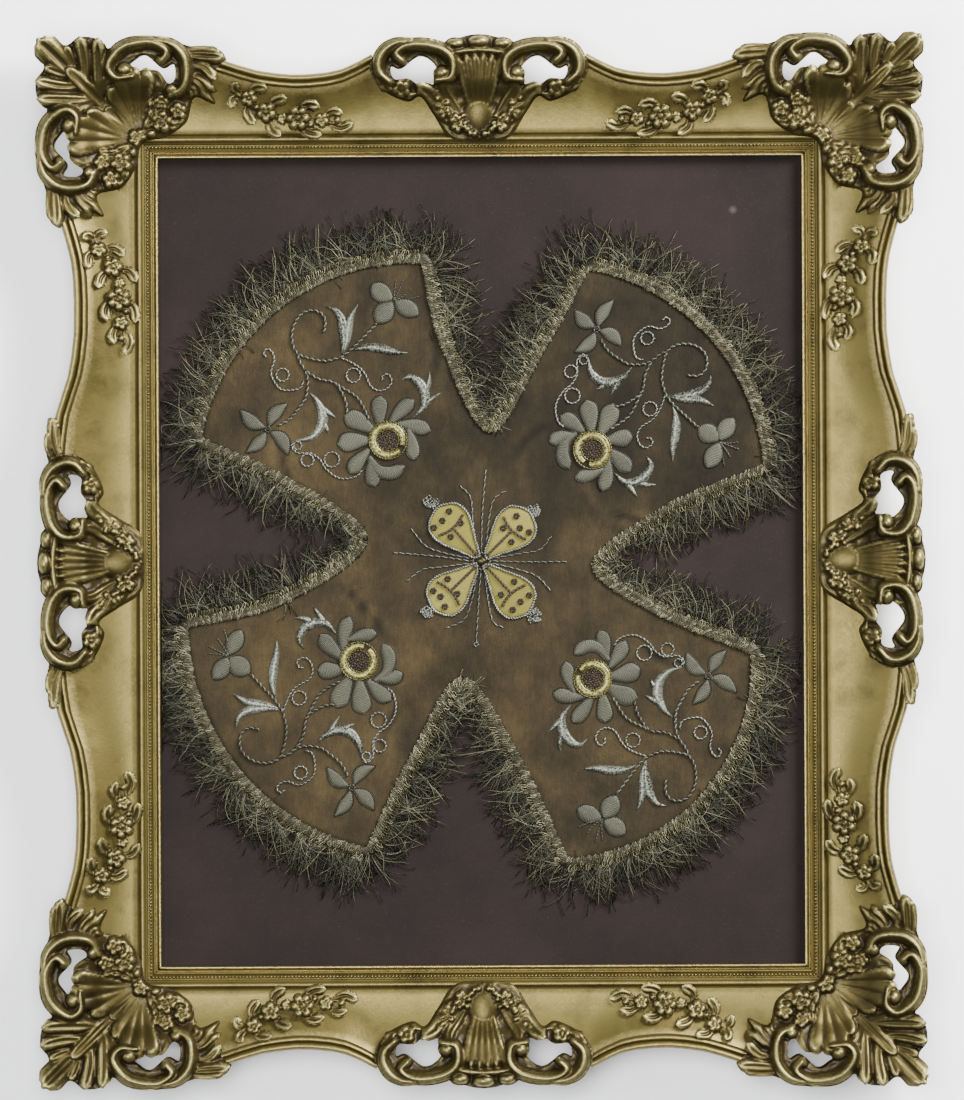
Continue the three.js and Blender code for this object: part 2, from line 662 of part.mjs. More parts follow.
const CORNERS = [
  { name: "upper_right", turn: 0, x: halfWide, y: halfTall },
  { name: "upper_left", turn: Math.PI / 2, x: -halfWide, y: halfTall },
  { name: "lower_left", turn: Math.PI, x: -halfWide, y: -halfTall },
  { name: "lower_right", turn: -Math.PI / 2, x: halfWide, y: -halfTall },
];
for (const place of CORNERS) {
  const mesh = addMesh("corner_" + place.name, corner.geometry, gilt());
  mesh.rotation.z = place.turn;
  mesh.position.set(place.x, place.y, 0);
}

// The mount: a board, and the cloth stretched over its face.
const mountWide = SIGHT.width + 2 * MOUNT.tuck;
const mountTall = SIGHT.height + 2 * MOUNT.tuck;
const boardBox = new THREE.BoxGeometry(mountWide, mountTall, MOUNT.boardThick);
const boardMesh = addMesh("mount_board", boardBox, board());
boardMesh.position.z = MOUNT.boardLow + MOUNT.boardThick / 2;
const clothBox = new THREE.BoxGeometry(mountWide, mountTall, MOUNT.clothThick);
const clothMesh = addMesh("mount_cloth", clothBox, mountCloth());
clothMesh.position.z = CLOTH_TOP - MOUNT.clothThick / 2;

addMesh("velvet", velvetSolid(), velvet());
LOBES.forEach((lobe, i) => addMesh("fringe_" + lobe.name, fringeSolid(i), metalThread()));

export default veil;
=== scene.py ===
# %% [markdown]
# # A chalice veil in its gilt frame
# The object is a small round veil with four notches, cut from brown velvet, worked with raised
# metal-thread flowers and edged with a looped header and a thick fringe. It lies on an
# aubergine mount cloth in a swept, pierced frame of bronze-powder gilding.
# Everything below is in millimetres until a mesh is made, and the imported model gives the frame
# that all the pieces share: +Z out of the face, +Y to the top edge.

import math

import bpy
import numpy as np
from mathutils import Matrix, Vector


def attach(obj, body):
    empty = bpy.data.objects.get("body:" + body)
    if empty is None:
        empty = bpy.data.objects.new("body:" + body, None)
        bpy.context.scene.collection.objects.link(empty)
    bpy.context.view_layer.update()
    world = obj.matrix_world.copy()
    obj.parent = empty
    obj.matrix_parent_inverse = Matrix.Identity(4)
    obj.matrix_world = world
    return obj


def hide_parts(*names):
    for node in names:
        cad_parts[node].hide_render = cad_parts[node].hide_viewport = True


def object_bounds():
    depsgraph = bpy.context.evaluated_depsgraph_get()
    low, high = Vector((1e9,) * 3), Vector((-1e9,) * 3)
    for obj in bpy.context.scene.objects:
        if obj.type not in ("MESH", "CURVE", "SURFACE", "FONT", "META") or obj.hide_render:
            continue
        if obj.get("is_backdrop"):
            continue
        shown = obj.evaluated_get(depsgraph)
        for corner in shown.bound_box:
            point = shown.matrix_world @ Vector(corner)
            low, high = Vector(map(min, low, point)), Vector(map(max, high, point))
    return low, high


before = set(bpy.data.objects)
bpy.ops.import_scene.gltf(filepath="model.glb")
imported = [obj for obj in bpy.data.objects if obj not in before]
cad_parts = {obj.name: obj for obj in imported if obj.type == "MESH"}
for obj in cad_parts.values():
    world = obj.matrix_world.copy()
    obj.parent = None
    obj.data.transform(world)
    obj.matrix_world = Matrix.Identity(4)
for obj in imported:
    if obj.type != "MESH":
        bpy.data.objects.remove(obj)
cad_box = [[float(v) for v in corner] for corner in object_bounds()]
print("CAD box, metres:", cad_box)

# %% [markdown]
# ## Camera
# The photograph looks straight at the face from far off, since the sight opening's sides are
# within half a percent of parallel. So the camera is five metres above the lying frame, with a
# long lens, and is rolled by a quarter of a degree, as the picture is.

# %% Camera
PHOTO = {"height": 1100, "mm_per_pixel": 0.614}
CAMERA_HEIGHT = 5.0
SENSOR_HEIGHT = 24.0
ROLL = math.radians(-0.28)
LOOK_AT = Vector((0.0004, 0.0068, 0.02))
camera_data = bpy.data.cameras.new("camera")
camera_data.sensor_fit = "VERTICAL"
camera_data.sensor_height = SENSOR_HEIGHT
view_height = PHOTO["height"] * PHOTO["mm_per_pixel"] / 1000
camera_data.lens = SENSOR_HEIGHT * (CAMERA_HEIGHT - LOOK_AT.z) / view_height
camera_data.clip_end = 50
camera = bpy.data.objects.new("camera", camera_data)
camera.location = (LOOK_AT.x, LOOK_AT.y, CAMERA_HEIGHT)
camera.rotation_euler = (0, 0, ROLL)
bpy.context.scene.collection.objects.link(camera)
bpy.context.scene.camera = camera
print("lens, mm:", round(camera_data.lens, 1))

# %% [markdown]
# ## Meshes from arrays
# The fringe, the beads and the stitches are thousands of like pieces. Making each with its own
# object would be slow, so points and faces are worked out with numpy and each kind becomes one
# joined mesh. Numbers kept on the points, such as how deep a hollow is, steer the materials.


# %% Mesh helpers
def make_mesh(name, points, faces, material, marks=None, smooth=True, replaces=()):
    """One object from points in mm and a list of face arrays, each of one face size."""
    points = np.asarray(points, dtype=np.float64) / 1000
    faces = [np.asarray(part, dtype=np.int64) for part in faces if len(part)]
    mesh = bpy.data.meshes.new(name)
    mesh.vertices.add(len(points))
    mesh.vertices.foreach_set("co", points.astype(np.float32).ravel())
    corners = np.concatenate([part.ravel() for part in faces])
    sizes = np.concatenate([np.full(len(part), part.shape[1]) for part in faces])
    mesh.loops.add(len(corners))
    mesh.loops.foreach_set("vertex_index", corners.astype(np.int32))
    mesh.polygons.add(len(sizes))
    starts = np.concatenate([[0], np.cumsum(sizes)[:-1]])
    mesh.polygons.foreach_set("loop_start", starts.astype(np.int32))
    mesh.update(calc_edges=True)
    mesh.validate()
    for mark, values in (marks or {}).items():
        layer = mesh.attributes.new(mark, "FLOAT", "POINT")
        layer.data.foreach_set("value", np.asarray(values, dtype=np.float32).ravel())
    mesh.polygons.foreach_set("use_smooth", np.full(len(mesh.polygons), smooth))
    mesh.materials.append(material)
    piece = bpy.data.objects.new(name, mesh)
    bpy.context.scene.collection.objects.link(piece)
    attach(piece, "root")
    if replaces:
        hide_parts(*replaces)
    triangles = int((sizes - 2).sum())
    print(f"{name}: {triangles} triangles")
    return piece


def grid_faces(rows, columns, wrap=False, first=0):
    """Quads over a grid of points, given row by row. wrap closes each row on itself."""
    r = np.arange(rows - 1)[:, None]
    c = np.arange(columns if wrap else columns - 1)[None, :]
    after = (c + 1) % columns
    a = r * columns + c
    b = r * columns + after
    return np.stack([a, b, b + columns, a + columns], axis=-1).reshape(-1, 4) + first


def join_parts(parts):
    """Points, faces and marks of many small parts as one set."""
    points, faces, marks, count = [], {}, {}, 0
    for part in parts:
        points.append(part["points"])
        for group in part["faces"]:
            if len(group):
                faces.setdefault(group.shape[1], []).append(group + count)
        for mark, values in part.get("marks", {}).items():
            marks.setdefault(mark, []).append(np.broadcast_to(values, (len(part["points"]),)))
        count += len(part["points"])
    return (
        np.concatenate(points),
        [np.concatenate(groups) for groups in faces.values()],
        {mark: np.concatenate(values) for mark, values in marks.items()},
    )


# %% Curves
def smooth_line(points, spacing, closed=False):
    """Points about `spacing` mm apart on a smooth curve through the given ones."""
    p = np.asarray(points, dtype=float)
    p = np.vstack([p[-1:], p, p[:2]]) if closed else np.vstack([2 * p[0] - p[1], p, 2 * p[-1] - p[-2]])
    t = np.linspace(0, 1, 16, endpoint=False)[:, None]
    dense = []
    for a, b, c, d in zip(p[:-3], p[1:-2], p[2:-1], p[3:]):
        curve = 2 * b + (c - a) * t + (2 * a - 5 * b + 4 * c - d) * t**2 + (3 * b - a - 3 * c + d) * t**3
        dense.append(curve / 2)
    dense = np.vstack([*dense, p[-2][None]])
    reach = np.concatenate([[0], np.cumsum(np.linalg.norm(np.diff(dense, axis=0), axis=1))])
    count = max(2, int(round(reach[-1] / spacing)) + 1)
    at = np.linspace(0, reach[-1], count)
    line = np.stack([np.interp(at, reach, dense[:, k]) for k in range(dense.shape[1])], axis=1)
    return line[:-1] if closed else line


def directions(line, closed=False):
    """Unit tangents and left-hand normals of a flat line."""
    if closed:
        along = np.roll(line, -1, axis=0) - np.roll(line, 1, axis=0)
    else:
        along = np.gradient(line, axis=0)
    along = along[:, :2] / np.linalg.norm(along[:, :2], axis=1, keepdims=True).clip(1e-9)
    return along, np.stack([-along[:, 1], along[:, 0]], axis=1)


def polygon_inside(x, y, corners):
    """Distance inside a closed outline, negative outside it."""
    p = np.asarray(corners, dtype=float)
    q = np.roll(p, -1, axis=0)
    nearest = np.full(x.shape, 1e9)
    odd = np.zeros(x.shape, dtype=bool)
    for (ax, ay), (bx, by) in zip(p, q):
        dx, dy = bx - ax, by - ay
        t = np.clip(((x - ax) * dx + (y - ay) * dy) / max(dx * dx + dy * dy, 1e-12), 0, 1)
        nearest = np.minimum(nearest, (x - ax - t * dx) ** 2 + (y - ay - t * dy) ** 2)
        if ay != by:
            odd ^= ((ay > y) != (by > y)) & (x < (bx - ax) * (y - ay) / (by - ay) + ax)
    return np.where(odd, 1, -1) * np.sqrt(nearest)


def tube(line, radius, sides, closed=False, marks=None):
    """A tube round a line of 3-D points. radius may be one number or one for each point."""
    line = np.asarray(line, dtype=float)
    if closed:
        along = np.roll(line, -1, axis=0) - np.roll(line, 1, axis=0)
    else:
        along = np.gradient(line, axis=0)
    along /= np.linalg.norm(along, axis=1, keepdims=True).clip(1e-9)
    side = np.cross(along, [0.0, 0.0, 1.0])
    side /= np.linalg.norm(side, axis=1, keepdims=True).clip(1e-6)
    up = np.cross(side, along)
    angle = np.linspace(0, 2 * math.pi, sides, endpoint=False)
    ring = np.cos(angle)[None, :, None] * side[:, None] + np.sin(angle)[None, :, None] * up[:, None]
    size = np.broadcast_to(np.asarray(radius, dtype=float), (len(line),))
    points = (line[:, None] + ring * size[:, None, None]).reshape(-1, 3)
    rows = len(line)
    quads = grid_faces(rows, sides, wrap=True)
    caps = []
    if closed:
        last = (rows - 1) * sides
        c = np.arange(sides)
        quads = np.vstack([quads, np.stack([last + c, last + (c + 1) % sides, (c + 1) % sides, c], axis=1)])
    else:
        caps = [np.arange(sides)[::-1][None], (np.arange(sides) + (rows - 1) * sides)[None]]
    kept = {mark: np.repeat(np.broadcast_to(v, (rows,)), sides) for mark, v in (marks or {}).items()}
    return {"points": points, "faces": [quads, *caps], "marks": kept}


# %% [markdown]
# ## Colours and nodes
# A colour is written as the sRGB hex that a maker would pick from a chart, and turned to linear
# light once. One function adds a node with its settings and its links.


# %% Colour and node helpers
def paint(hex_colour):
    """Linear RGBA of an sRGB hex colour."""
    parts = [int(hex_colour[i : i + 2], 16) / 255 for i in (1, 3, 5)]
    linear = [p / 12.92 if p <= 0.04045 else ((p + 0.055) / 1.055) ** 2.4 for p in parts]
    return (*linear, 1.0)


def add(tree, kind, inputs=None, **settings):
    """A node of that kind. An input that is an output socket is linked, and else it is a value."""
    node = tree.nodes.new(kind)
    for key, value in settings.items():
        setattr(node, key, value)
    for key, value in (inputs or {}).items():
        if isinstance(value, bpy.types.NodeSocket):
            tree.links.new(value, node.inputs[key])
        else:
            node.inputs[key].default_value = value
    return node


def new_material(name):
    """A blank material with its node tree and the place on the object, in metres."""
    material = bpy.data.materials.new(name)
    material.use_nodes = True
    tree = material.node_tree
    tree.nodes.clear()
    return material, tree, add(tree, "ShaderNodeTexCoord").outputs["Object"]


def finish_material(tree, surface, normal, **values):
    """The surface shader with its constants set on its own sockets, and the output."""
    shader = add(tree, "ShaderNodeBsdfPrincipled", surface)
    for key, value in values.items():
        shader.inputs[key.replace("_", " ")].default_value = value
    tree.links.new(normal, shader.inputs["Normal"])
    add(tree, "ShaderNodeOutputMaterial", {"Surface": shader.outputs[0]})


def mark(tree, name):
    """A number kept on the points."""
    return add(tree, "ShaderNodeAttribute", attribute_name=name).outputs["Fac"]


def stretched(tree, place, scale):
    return add(tree, "ShaderNodeMapping", {"Vector": place, "Scale": scale}).outputs[0]


def noise(tree, place, scale, detail, roughness=0.5):
    """Noise with `scale` patches a metre."""
    inputs = {"Vector": place, "Scale": scale, "Detail": detail, "Roughness": roughness}
    return add(tree, "ShaderNodeTexNoise", inputs).outputs["Fac"]


def reckon(tree, operation, *values, **settings):
    """One sum, product or wave of values."""
    return add(tree, "ShaderNodeMath", dict(enumerate(values)), operation=operation, **settings).outputs[0]


def mapped(tree, value, source=(0.0, 1.0), target=(0.0, 1.0)):
    """A value carried from one range to another."""
    names = ("From Min", "From Max", "To Min", "To Max")
    inputs = {"Value": value, **dict(zip(names, (*source, *target)))}
    return add(tree, "ShaderNodeMapRange", inputs).outputs["Result"]


def blend(tree, factor, under, over, kind="MIX"):
    """Two colours, mixed or multiplied by a factor."""
    inputs = {"Factor": factor, "A": under, "B": over}
    return add(tree, "ShaderNodeMix", inputs, data_type="RGBA", blend_type=kind).outputs["Result"]


def bumped(tree, height, strength, distance):
    """The normal of a bump as deep as `distance` in metres."""
    inputs = {"Height": height, "Strength": strength, "Distance": distance}
    return add(tree, "ShaderNodeBump", inputs).outputs["Normal"]


def ramp(tree, factor, stops):
    """A colour ramp with the given stops, as (place, colour)."""
    node = add(tree, "ShaderNodeValToRGB", {"Fac": factor})
    elements = node.color_ramp.elements
    while len(elements) < len(stops):
        elements.new(0.5)
    for element, (place, colour) in zip(elements, stops):
        element.position = place
        element.color = colour
    return node.outputs["Color"]


# %% [markdown]
# ### Bronze-powder gilding
# The rails are softwood under gesso, and the ornaments are pressed composition. Both were gilded
# with bronze powder in varnish, which darkens to olive with age. Two marks on the points steer the
# colour. One darkens the hollows and the walls under the ornament, as grime and as painted shade,
# and the other lightens the high places, as rubbed wear and as painted highlight. A fine noise
# breaks both up. It is metal flake in varnish, so it is mostly metallic but never mirror-smooth.


# %% Gilding
def gilding(name, dark, middle, bright, roughness, metal):
    material, tree, place = new_material(name)
    # Patches of 25 mm where the powder lay thick or thin, and grime of 2 mm.
    patches = noise(tree, place, 40.0, 6.0, 0.6)
    grime = noise(tree, place, 520.0, 5.0, 0.7)
    # The mark of the high places lightens them toward the bright colour, as rubbed wear and as painted
    # highlight.
    worn = reckon(tree, "MULTIPLY_ADD", mark(tree, "wear_and_highlight"), grime, -0.22)
    bright_share = reckon(tree, "MULTIPLY", worn, 2.0, use_clamp=True)
    base = ramp(tree, patches, [(0.3, paint(dark)), (0.52, paint(middle))])
    lit = blend(tree, bright_share, base, paint(bright))
    # The mark of the hollows darkens them toward near-black and dulls the metal, as grime and as painted
    # shade.
    grime_and_shade_amount = reckon(tree, "MULTIPLY", mark(tree, "hollow"), grime)
    grime_and_shade_share = reckon(tree, "MULTIPLY", grime_and_shade_amount, 1.15, use_clamp=True)
    grimed_and_shaded = blend(tree, grime_and_shade_share, lit, paint("#1a1206"))
    gloss = mapped(tree, grime, target=(roughness - 0.1, roughness + 0.16))
    metallic = mapped(tree, grime_and_shade_share, target=(metal, 0.1))
    surface = {"Base Color": grimed_and_shaded, "Roughness": gloss, "Metallic": metallic}
    finish_material(tree, surface, bumped(tree, grime, 0.25, 0.0004), Specular_IOR_Level=0.15)
    return material


composition_gilding = gilding("bronze_powder_on_composition", "#241f0f", "#3b341b", "#746c46", 0.34, 0.82)
cove_gilding = gilding("bronze_powder_on_gesso", "#3d361a", "#534a26", "#7e7248", 0.38, 0.76)
slip_gilding = gilding("burnished_slip_gilding", "#3b3116", "#564920", "#a79d76", 0.28, 0.85)

# %% [markdown]
# ### Raw softwood and pasteboard
# Seen from behind, the rails are bare planed softwood, and the mount is a grey-brown pasteboard.
# Grain runs as long stretched noise at about 2 mm.


# %% Wood and board
def fibres(name, light, dark, stretch, scale, roughness):
    material, tree, place = new_material(name)
    grain = noise(tree, stretched(tree, place, stretch), scale, 6.0)
    colour = ramp(tree, grain, [(0.35, paint(dark)), (0.62, paint(light))])
    finish_material(tree, {"Base Color": colour}, bumped(tree, grain, 0.2, 0.0003), Roughness=roughness)
    return material


softwood = fibres("planed_softwood", "#776349", "#54442f", (1.0, 0.12, 1.0), 420.0, 0.75)
pasteboard = fibres("pasteboard", "#6f6350", "#5f523f", (1.0, 1.0, 1.0), 700.0, 0.9)

# %% [markdown]
# ## The frame's mouldings
# A frame maker runs one moulding, cuts four lengths and mitres them. This one is swept: its
# outer edge dips between the corners and the middle, so the cove is stretched to a width that
# changes along the rail, while the sight edge stays straight. Each ring of points follows the
# section, and slides along to meet the mitre exactly.

# %% Sizes of the frame
HALF_X = 197.0
HALF_Y = 247.5
MITRE_GAP = 0.22
RIM_WIDTH = 9.0
COVE = {"start": 16.0, "low": 30.6, "rise": 12.0, "turn": 1.42}
SIDES = {
    "top": {"turn": 0.0, "place": (0.0, HALF_Y), "half": HALF_X, "kind": "short"},
    "left": {"turn": math.pi / 2, "place": (-HALF_X, 0.0), "half": HALF_Y, "kind": "long"},
    "bottom": {"turn": math.pi, "place": (0.0, -HALF_Y), "half": HALF_X, "kind": "short"},
    "right": {"turn": -math.pi / 2, "place": (HALF_X, 0.0), "half": HALF_Y, "kind": "long"},
}
# How far the outer edge stands from the sight edge, by the distance from the rail's middle.
SWEEP = {
    "long": [
        (0, 66), (68, 66.2), (78, 65.2), (90, 63.4), (102, 59.6), (114, 55.6), (126, 53.4), (140, 51.8),
        (160, 51.6), (175, 52.2), (186, 53.6), (199, 57), (212, 61), (330, 61),
    ],
    "short": [
        (0, 63), (66, 63), (70, 60.5), (76, 57.5), (84, 54), (93, 52), (104, 50.9), (114, 50.7),
        (124, 51.6), (135, 53.2), (147, 56.6), (160, 61), (280, 61),
    ],
}
# Where a pierced ornament takes over, the rail stops short and has no rim: a crest, then a corner.
CUT = {
    "long": {"crest": 64.0, "crest_width": 41.0, "corner": 214.0, "corner_width": 43.0},
    "short": {"crest": 62.0, "crest_width": 41.0, "corner": 162.0, "corner_width": 43.0},
}


# Half outlines of the pierced ornaments. A corner is given by how far along it and how deep from its
# outer corner a point lies, and a crest by how far along the rail and how far out of the sight edge.
CORNER_REACH = 74.0
OUTLINE_STEP = 1.6
HOLE_STEP = 1.2
CORNER_EDGE = [
    (2.6, 2.6), (12, 0.4), (18.3, 5.5), (27, 0.4), (37, 1.2), (45, 7.3), (58, 2.8), (74, 2), (92, 5.4),
    (106, 10.6),
    (111, 8), (116, 13.4), (108, 22.5), (105, 30), (109.5, 41), (96.5, 37), (91.5, 52), (78, 61),
    (64.5, 64.5),
]
CORNER_HOLE = [
    (55.5, 18.5), (60, 13.5), (67, 10.6), (77, 18.5), (84, 16), (85.3, 25), (81, 28.6), (74, 20.5),
    (60.5, 23),
]
CREST_EDGE = [(0, 9.5), (18, 12), (28, 26), (36, 37), (44, 34), (59, 41), (66.5, 52), (65.5, 60)]
CREST_LEAF = [(74, 61), (89, 64.5), (80, 68), (68, 68.5)]
CREST_TOP = [(58, 67), (46, 71), (30, 70), (23, 68), (14, 71.5), (6, 73.8), (0, 74)]
CREST_HOLE = [
    (24.7, 52), (29, 59), (37, 62), (48, 54.5), (54, 56), (52, 47.5), (43, 47.6), (35, 42.6), (26, 45.4),
]


def corner_outline():
    other = [(y, x) for x, y in CORNER_EDGE[-2:0:-1]]
    return smooth_line([*CORNER_EDGE, *other], OUTLINE_STEP, closed=True)


def crest_outline(kind):
    edge = [*CREST_EDGE, *(CREST_LEAF if kind == "long" else []), *CREST_TOP]
    other = [(-x, y) for x, y in edge[-2:0:-1]]
    return smooth_line([*edge, *other], OUTLINE_STEP, closed=True)


def turned(points, side):
    """Points of a rail's own frame, placed on that side of the object."""
    c, s = math.cos(side["turn"]), math.sin(side["turn"])
    x = c * points[:, 0] - s * points[:, 1] + side["place"][0]
    y = s * points[:, 0] + c * points[:, 1] + side["place"][1]
    return np.stack([x, y, points[:, 2]], axis=1)


# %% The moulding's section
INNER_LINE = [
    (9.3, 0.0), (9.3, 24.0), (4.0, 24.0), (4.0, 26.6), (4.25, 27.1), (4.7, 27.3), (5.1, 27.1), (5.3, 26.8),
    (5.5, 26.6), (8.3, 26.6), (8.5, 26.9), (8.7, 27.6), (9.1, 28.0), (9.6, 28.1), (9.9, 28.5), (10.2, 29.3),
    (10.9, 30.1), (11.7, 30.4), (12.5, 30.1), (13.1, 29.3), (13.35, 28.8), (13.8, 28.6), (14.3, 29.0),
    (14.6, 29.9), (15.2, 30.3),
]
RIM_LINE = [
    (-9.0, 0.0), (-8.8, -0.7), (-8.4, -0.6), (-8.2, 0.4), (-7.8, 1.7), (-7.1, 2.7), (-6.2, 2.9),
    (-5.4, 2.3),
    (-4.9, 1.4), (-4.6, 1.1), (-4.3, 1.9), (-3.8, 3.2), (-3.0, 4.1), (-2.1, 4.3), (-1.2, 3.7), (-0.5, 2.5),
    (-0.1, 0.8), (0.0, -1.2), (-0.4, -3.5), (-1.1, -5.5), (-1.6, -9.0),
]


def moulding(width, sweep=None):
    """Across and height of the section's points. sweep is the width that shapes the cove."""
    width = np.asarray(width, dtype=float)[..., None]
    sweep = width if sweep is None else np.asarray(sweep, dtype=float)[..., None]
    has_rim = np.clip(1 - (sweep - width) / 3, 0, 1)
    inner = np.array(INNER_LINE)
    rim = np.array(RIM_LINE)
    share = np.linspace(0, 1, 15)[1:-1]
    cove_end = width - RIM_WIDTH * has_rim - 0.5
    cove_width = sweep - RIM_WIDTH - 0.5 - COVE["start"]
    cove_across = np.minimum(COVE["start"] + cove_width * share, cove_end)
    cove_height = cove_at(cove_across, sweep)
    top = cove_at(cove_end, sweep)
    inner_across = np.broadcast_to(inner[:, 0], (*width.shape[:-1], len(inner)))
    inner_height = np.broadcast_to(inner[:, 1], inner_across.shape)
    rim_across = width + rim[:, 0] * has_rim - 0.3 * (1 - has_rim)
    rim_height = top + np.where(rim[:, 1] > -3, rim[:, 1] * has_rim, rim[:, 1])
    across = np.concatenate([inner_across, cove_across, rim_across, width - 6.0], axis=-1)
    height = np.concatenate([inner_height, cove_height, rim_height, np.zeros(width.shape)], axis=-1)
    return across, height


def cove_at(across, sweep):
    """Height of the cove, on a rail whose full width is `sweep`."""
    share = np.clip((across - COVE["start"]) / (sweep - RIM_WIDTH - COVE["start"]), 0, 1)
    return COVE["low"] + COVE["rise"] * (1 - np.cos(COVE["turn"] * share))


def rail_widths(kind, along):
    """The rail's true width and the width that shapes its cove, at distances along it."""
    table = np.array(SWEEP[kind], dtype=float)
    cut = CUT[kind]
    away = np.abs(along)
    sweep = np.interp(away, table[:, 0], table[:, 1])
    near_crest = np.interp(away, [cut["crest"] - 5, cut["crest"]], [cut["crest_width"], 99])
    near_corner = np.interp(away, [cut["corner"], cut["corner"] + 5], [99, cut["corner_width"]])
    return np.minimum(sweep, np.minimum(near_crest, near_corner)), sweep


# A rail's face is let down to a seat under an ornament. The seat begins so far inside the outline
# that its step stays out of sight.
SEAT = {"inset": 4.5, "height": 24.3, "from": 10.0}
RAIL_STATIONS = 76


def rail(side):
    """One rail, mitred at both ends and let down where an ornament sits on it."""
    half = side["half"]
    t = np.linspace(-1, 1, 2 * RAIL_STATIONS - 1)
    columns = len(moulding(50.0)[0])
    along = np.repeat(t[:, None] * half, columns, axis=1)
    for _ in range(4):
        width, sweep = rail_widths(side["kind"], along)
        section = [moulding(width[:, k], sweep[:, k]) for k in range(columns)]
        across = np.stack([section[k][0][:, k] for k in range(columns)], axis=1)
        along = t[:, None] * (half + across - MITRE_GAP)
    height = np.stack([section[k][1][:, k] for k in range(columns)], axis=1)
    from_end = half + CORNER_REACH - np.abs(along)
    under_crest = polygon_inside(along, across, crest_outline(side["kind"]))
    under_corner = polygon_inside(from_end, CORNER_REACH - across, corner_outline())
    seated = (np.maximum(under_crest, under_corner) > SEAT["inset"]) & (across > SEAT["from"])
    height = np.where(seated, np.minimum(height, SEAT["height"]), height)
    points = turned(np.stack([along.ravel(), across.ravel(), height.ravel()], axis=1), side)
    rows = len(t)
    faces = grid_faces(rows, columns, wrap=True)[:, ::-1]
    caps = [np.arange(columns)[::-1][None], (np.arange(columns) + (rows - 1) * columns)[None]]
    # The quirks of the section are darkened, and its inner side and the cove a little, as dirt and as
    # painted shade. The crests of the beads and the rim, and the cove a little, are lightened as rubbed
    # wear and as painted highlight.
    section = moulding(52.0)[1]
    smooth = np.convolve(np.pad(section, 2, mode="edge"), np.ones(5) / 5, "valid")
    proud = (section - smooth)[None, :] + 0 * along
    proud[:, :2] = 0
    proud[:, -2:] = 0
    inside_cove = (across > 15) & (across < width - RIM_WIDTH)
    hollow = np.clip(-proud * 1.3, 0, 1) + 0.25 * (across < 16) + 0.12 * inside_cove
    wear_and_highlight = np.clip(proud * 1.1, 0, 1) + 0.18 * inside_cove + 0.2
    return points, [faces, *caps], {"hollow": hollow.ravel(), "wear_and_highlight": wear_and_highlight.ravel()}


def wood_below(piece, material, limit_mm=22.0):
    """Faces that look down or stand below the gilding are bare wood."""
    piece.data.materials.append(material)
    for face in piece.data.polygons:
        low_side = face.center.z * 1000 < limit_mm and abs(face.normal.z) < 0.2
        if face.normal.z < -0.6 or low_side:
            face.material_index = 1


for name, side in SIDES.items():
    points, faces, marks = rail(side)
    piece = make_mesh(
        f"moulding_{name}", points, faces, cove_gilding, marks, replaces=[f"rail_{name}"],
    )
    piece.data.set_sharp_from_angle(angle=math.radians(50))
    wood_below(piece, softwood)

# %% [markdown]
# ## Slip and beads
# Inside the rails stands a narrow slip of brighter, burnished gilding, and round it runs a row
# of small turned beads about 2.1 mm apart. The beads are domes joined into one mesh a side.

# %% Slip
SLIP_LINE = [
    (8.7, 19.8), (8.7, 23.7), (3.7, 23.7), (3.7, 26.1), (3.55, 26.5), (3.2, 26.7), (2.8, 26.5), (2.6, 26.1),
    (2.35, 26.0), (2.1, 26.3), (1.75, 27.0), (1.2, 27.3), (0.6, 27.1), (0.2, 26.6), (0.0, 26.0),
    (0.0, 19.8),
]
SLIP_STATIONS = 61
section = np.array(SLIP_LINE)
for name, side in SIDES.items():
    t = np.linspace(-1, 1, SLIP_STATIONS)[:, None]
    along = t * (side["half"] + section[None, :, 0] - MITRE_GAP)
    # A hand-laid slip isn't dead straight: it wavers by a few hundredths.
    wave = 0.05 * np.sin(along * 0.07) + 0.03 * np.sin(along * 0.31)
    across = section[None, :, 0] + 0 * along
    height = section[None, :, 1] + wave * (section[None, :, 1] > 24)
    points = turned(np.stack([along.ravel(), across.ravel(), height.ravel()], axis=1), side)
    count = len(section)
    quads = grid_faces(SLIP_STATIONS, count, wrap=True)[:, ::-1]
    last = (np.arange(count) + (SLIP_STATIONS - 1) * count)[None]
    faces = [quads, np.arange(count)[::-1][None], last]
    # The quirk of the slip is darkened as grime and as painted shade, and its round is lightened as rubbed
    # wear and as painted highlight.
    quirk = np.clip(1.2 - 1.6 * np.abs(across - 2.35), 0, 1) * 0.7
    slip_wear_and_highlight = 0.45 + 0.3 * (np.abs(across - 1.2) < 0.7) + 0 * along
    piece = make_mesh(
        f"gilt_slip_{name}", points, faces, slip_gilding, {"hollow": quirk.ravel(), "wear_and_highlight": slip_wear_and_highlight.ravel()},
        replaces=[f"slip_{name}"],
    )
    piece.data.set_sharp_from_angle(angle=math.radians(60))

# %% Beads
BEAD = {"pitch": 2.12, "radius": 1.0, "tall": 1.15, "across": 6.9, "height": 26.6}


def dome_grid(sides, rings):
    """A unit dome: rings of points from the rim to the pole."""
    turn = np.linspace(0, math.pi / 2, rings + 1)[:-1]
    angle = np.linspace(0, 2 * math.pi, sides, endpoint=False)
    reach, high = np.cos(turn)[:, None], np.sin(turn)[:, None]
    points = np.stack([reach * np.cos(angle), reach * np.sin(angle), high + 0 * angle], axis=-1)
    points = np.vstack([points.reshape(-1, 3), [[0, 0, 1]]])
    c = np.arange(sides)
    top = (rings - 1) * sides
    fan = np.stack([top + c, top + (c + 1) % sides, np.full(sides, rings * sides)], axis=1)
    return points, grid_faces(rings, sides, wrap=True), fan


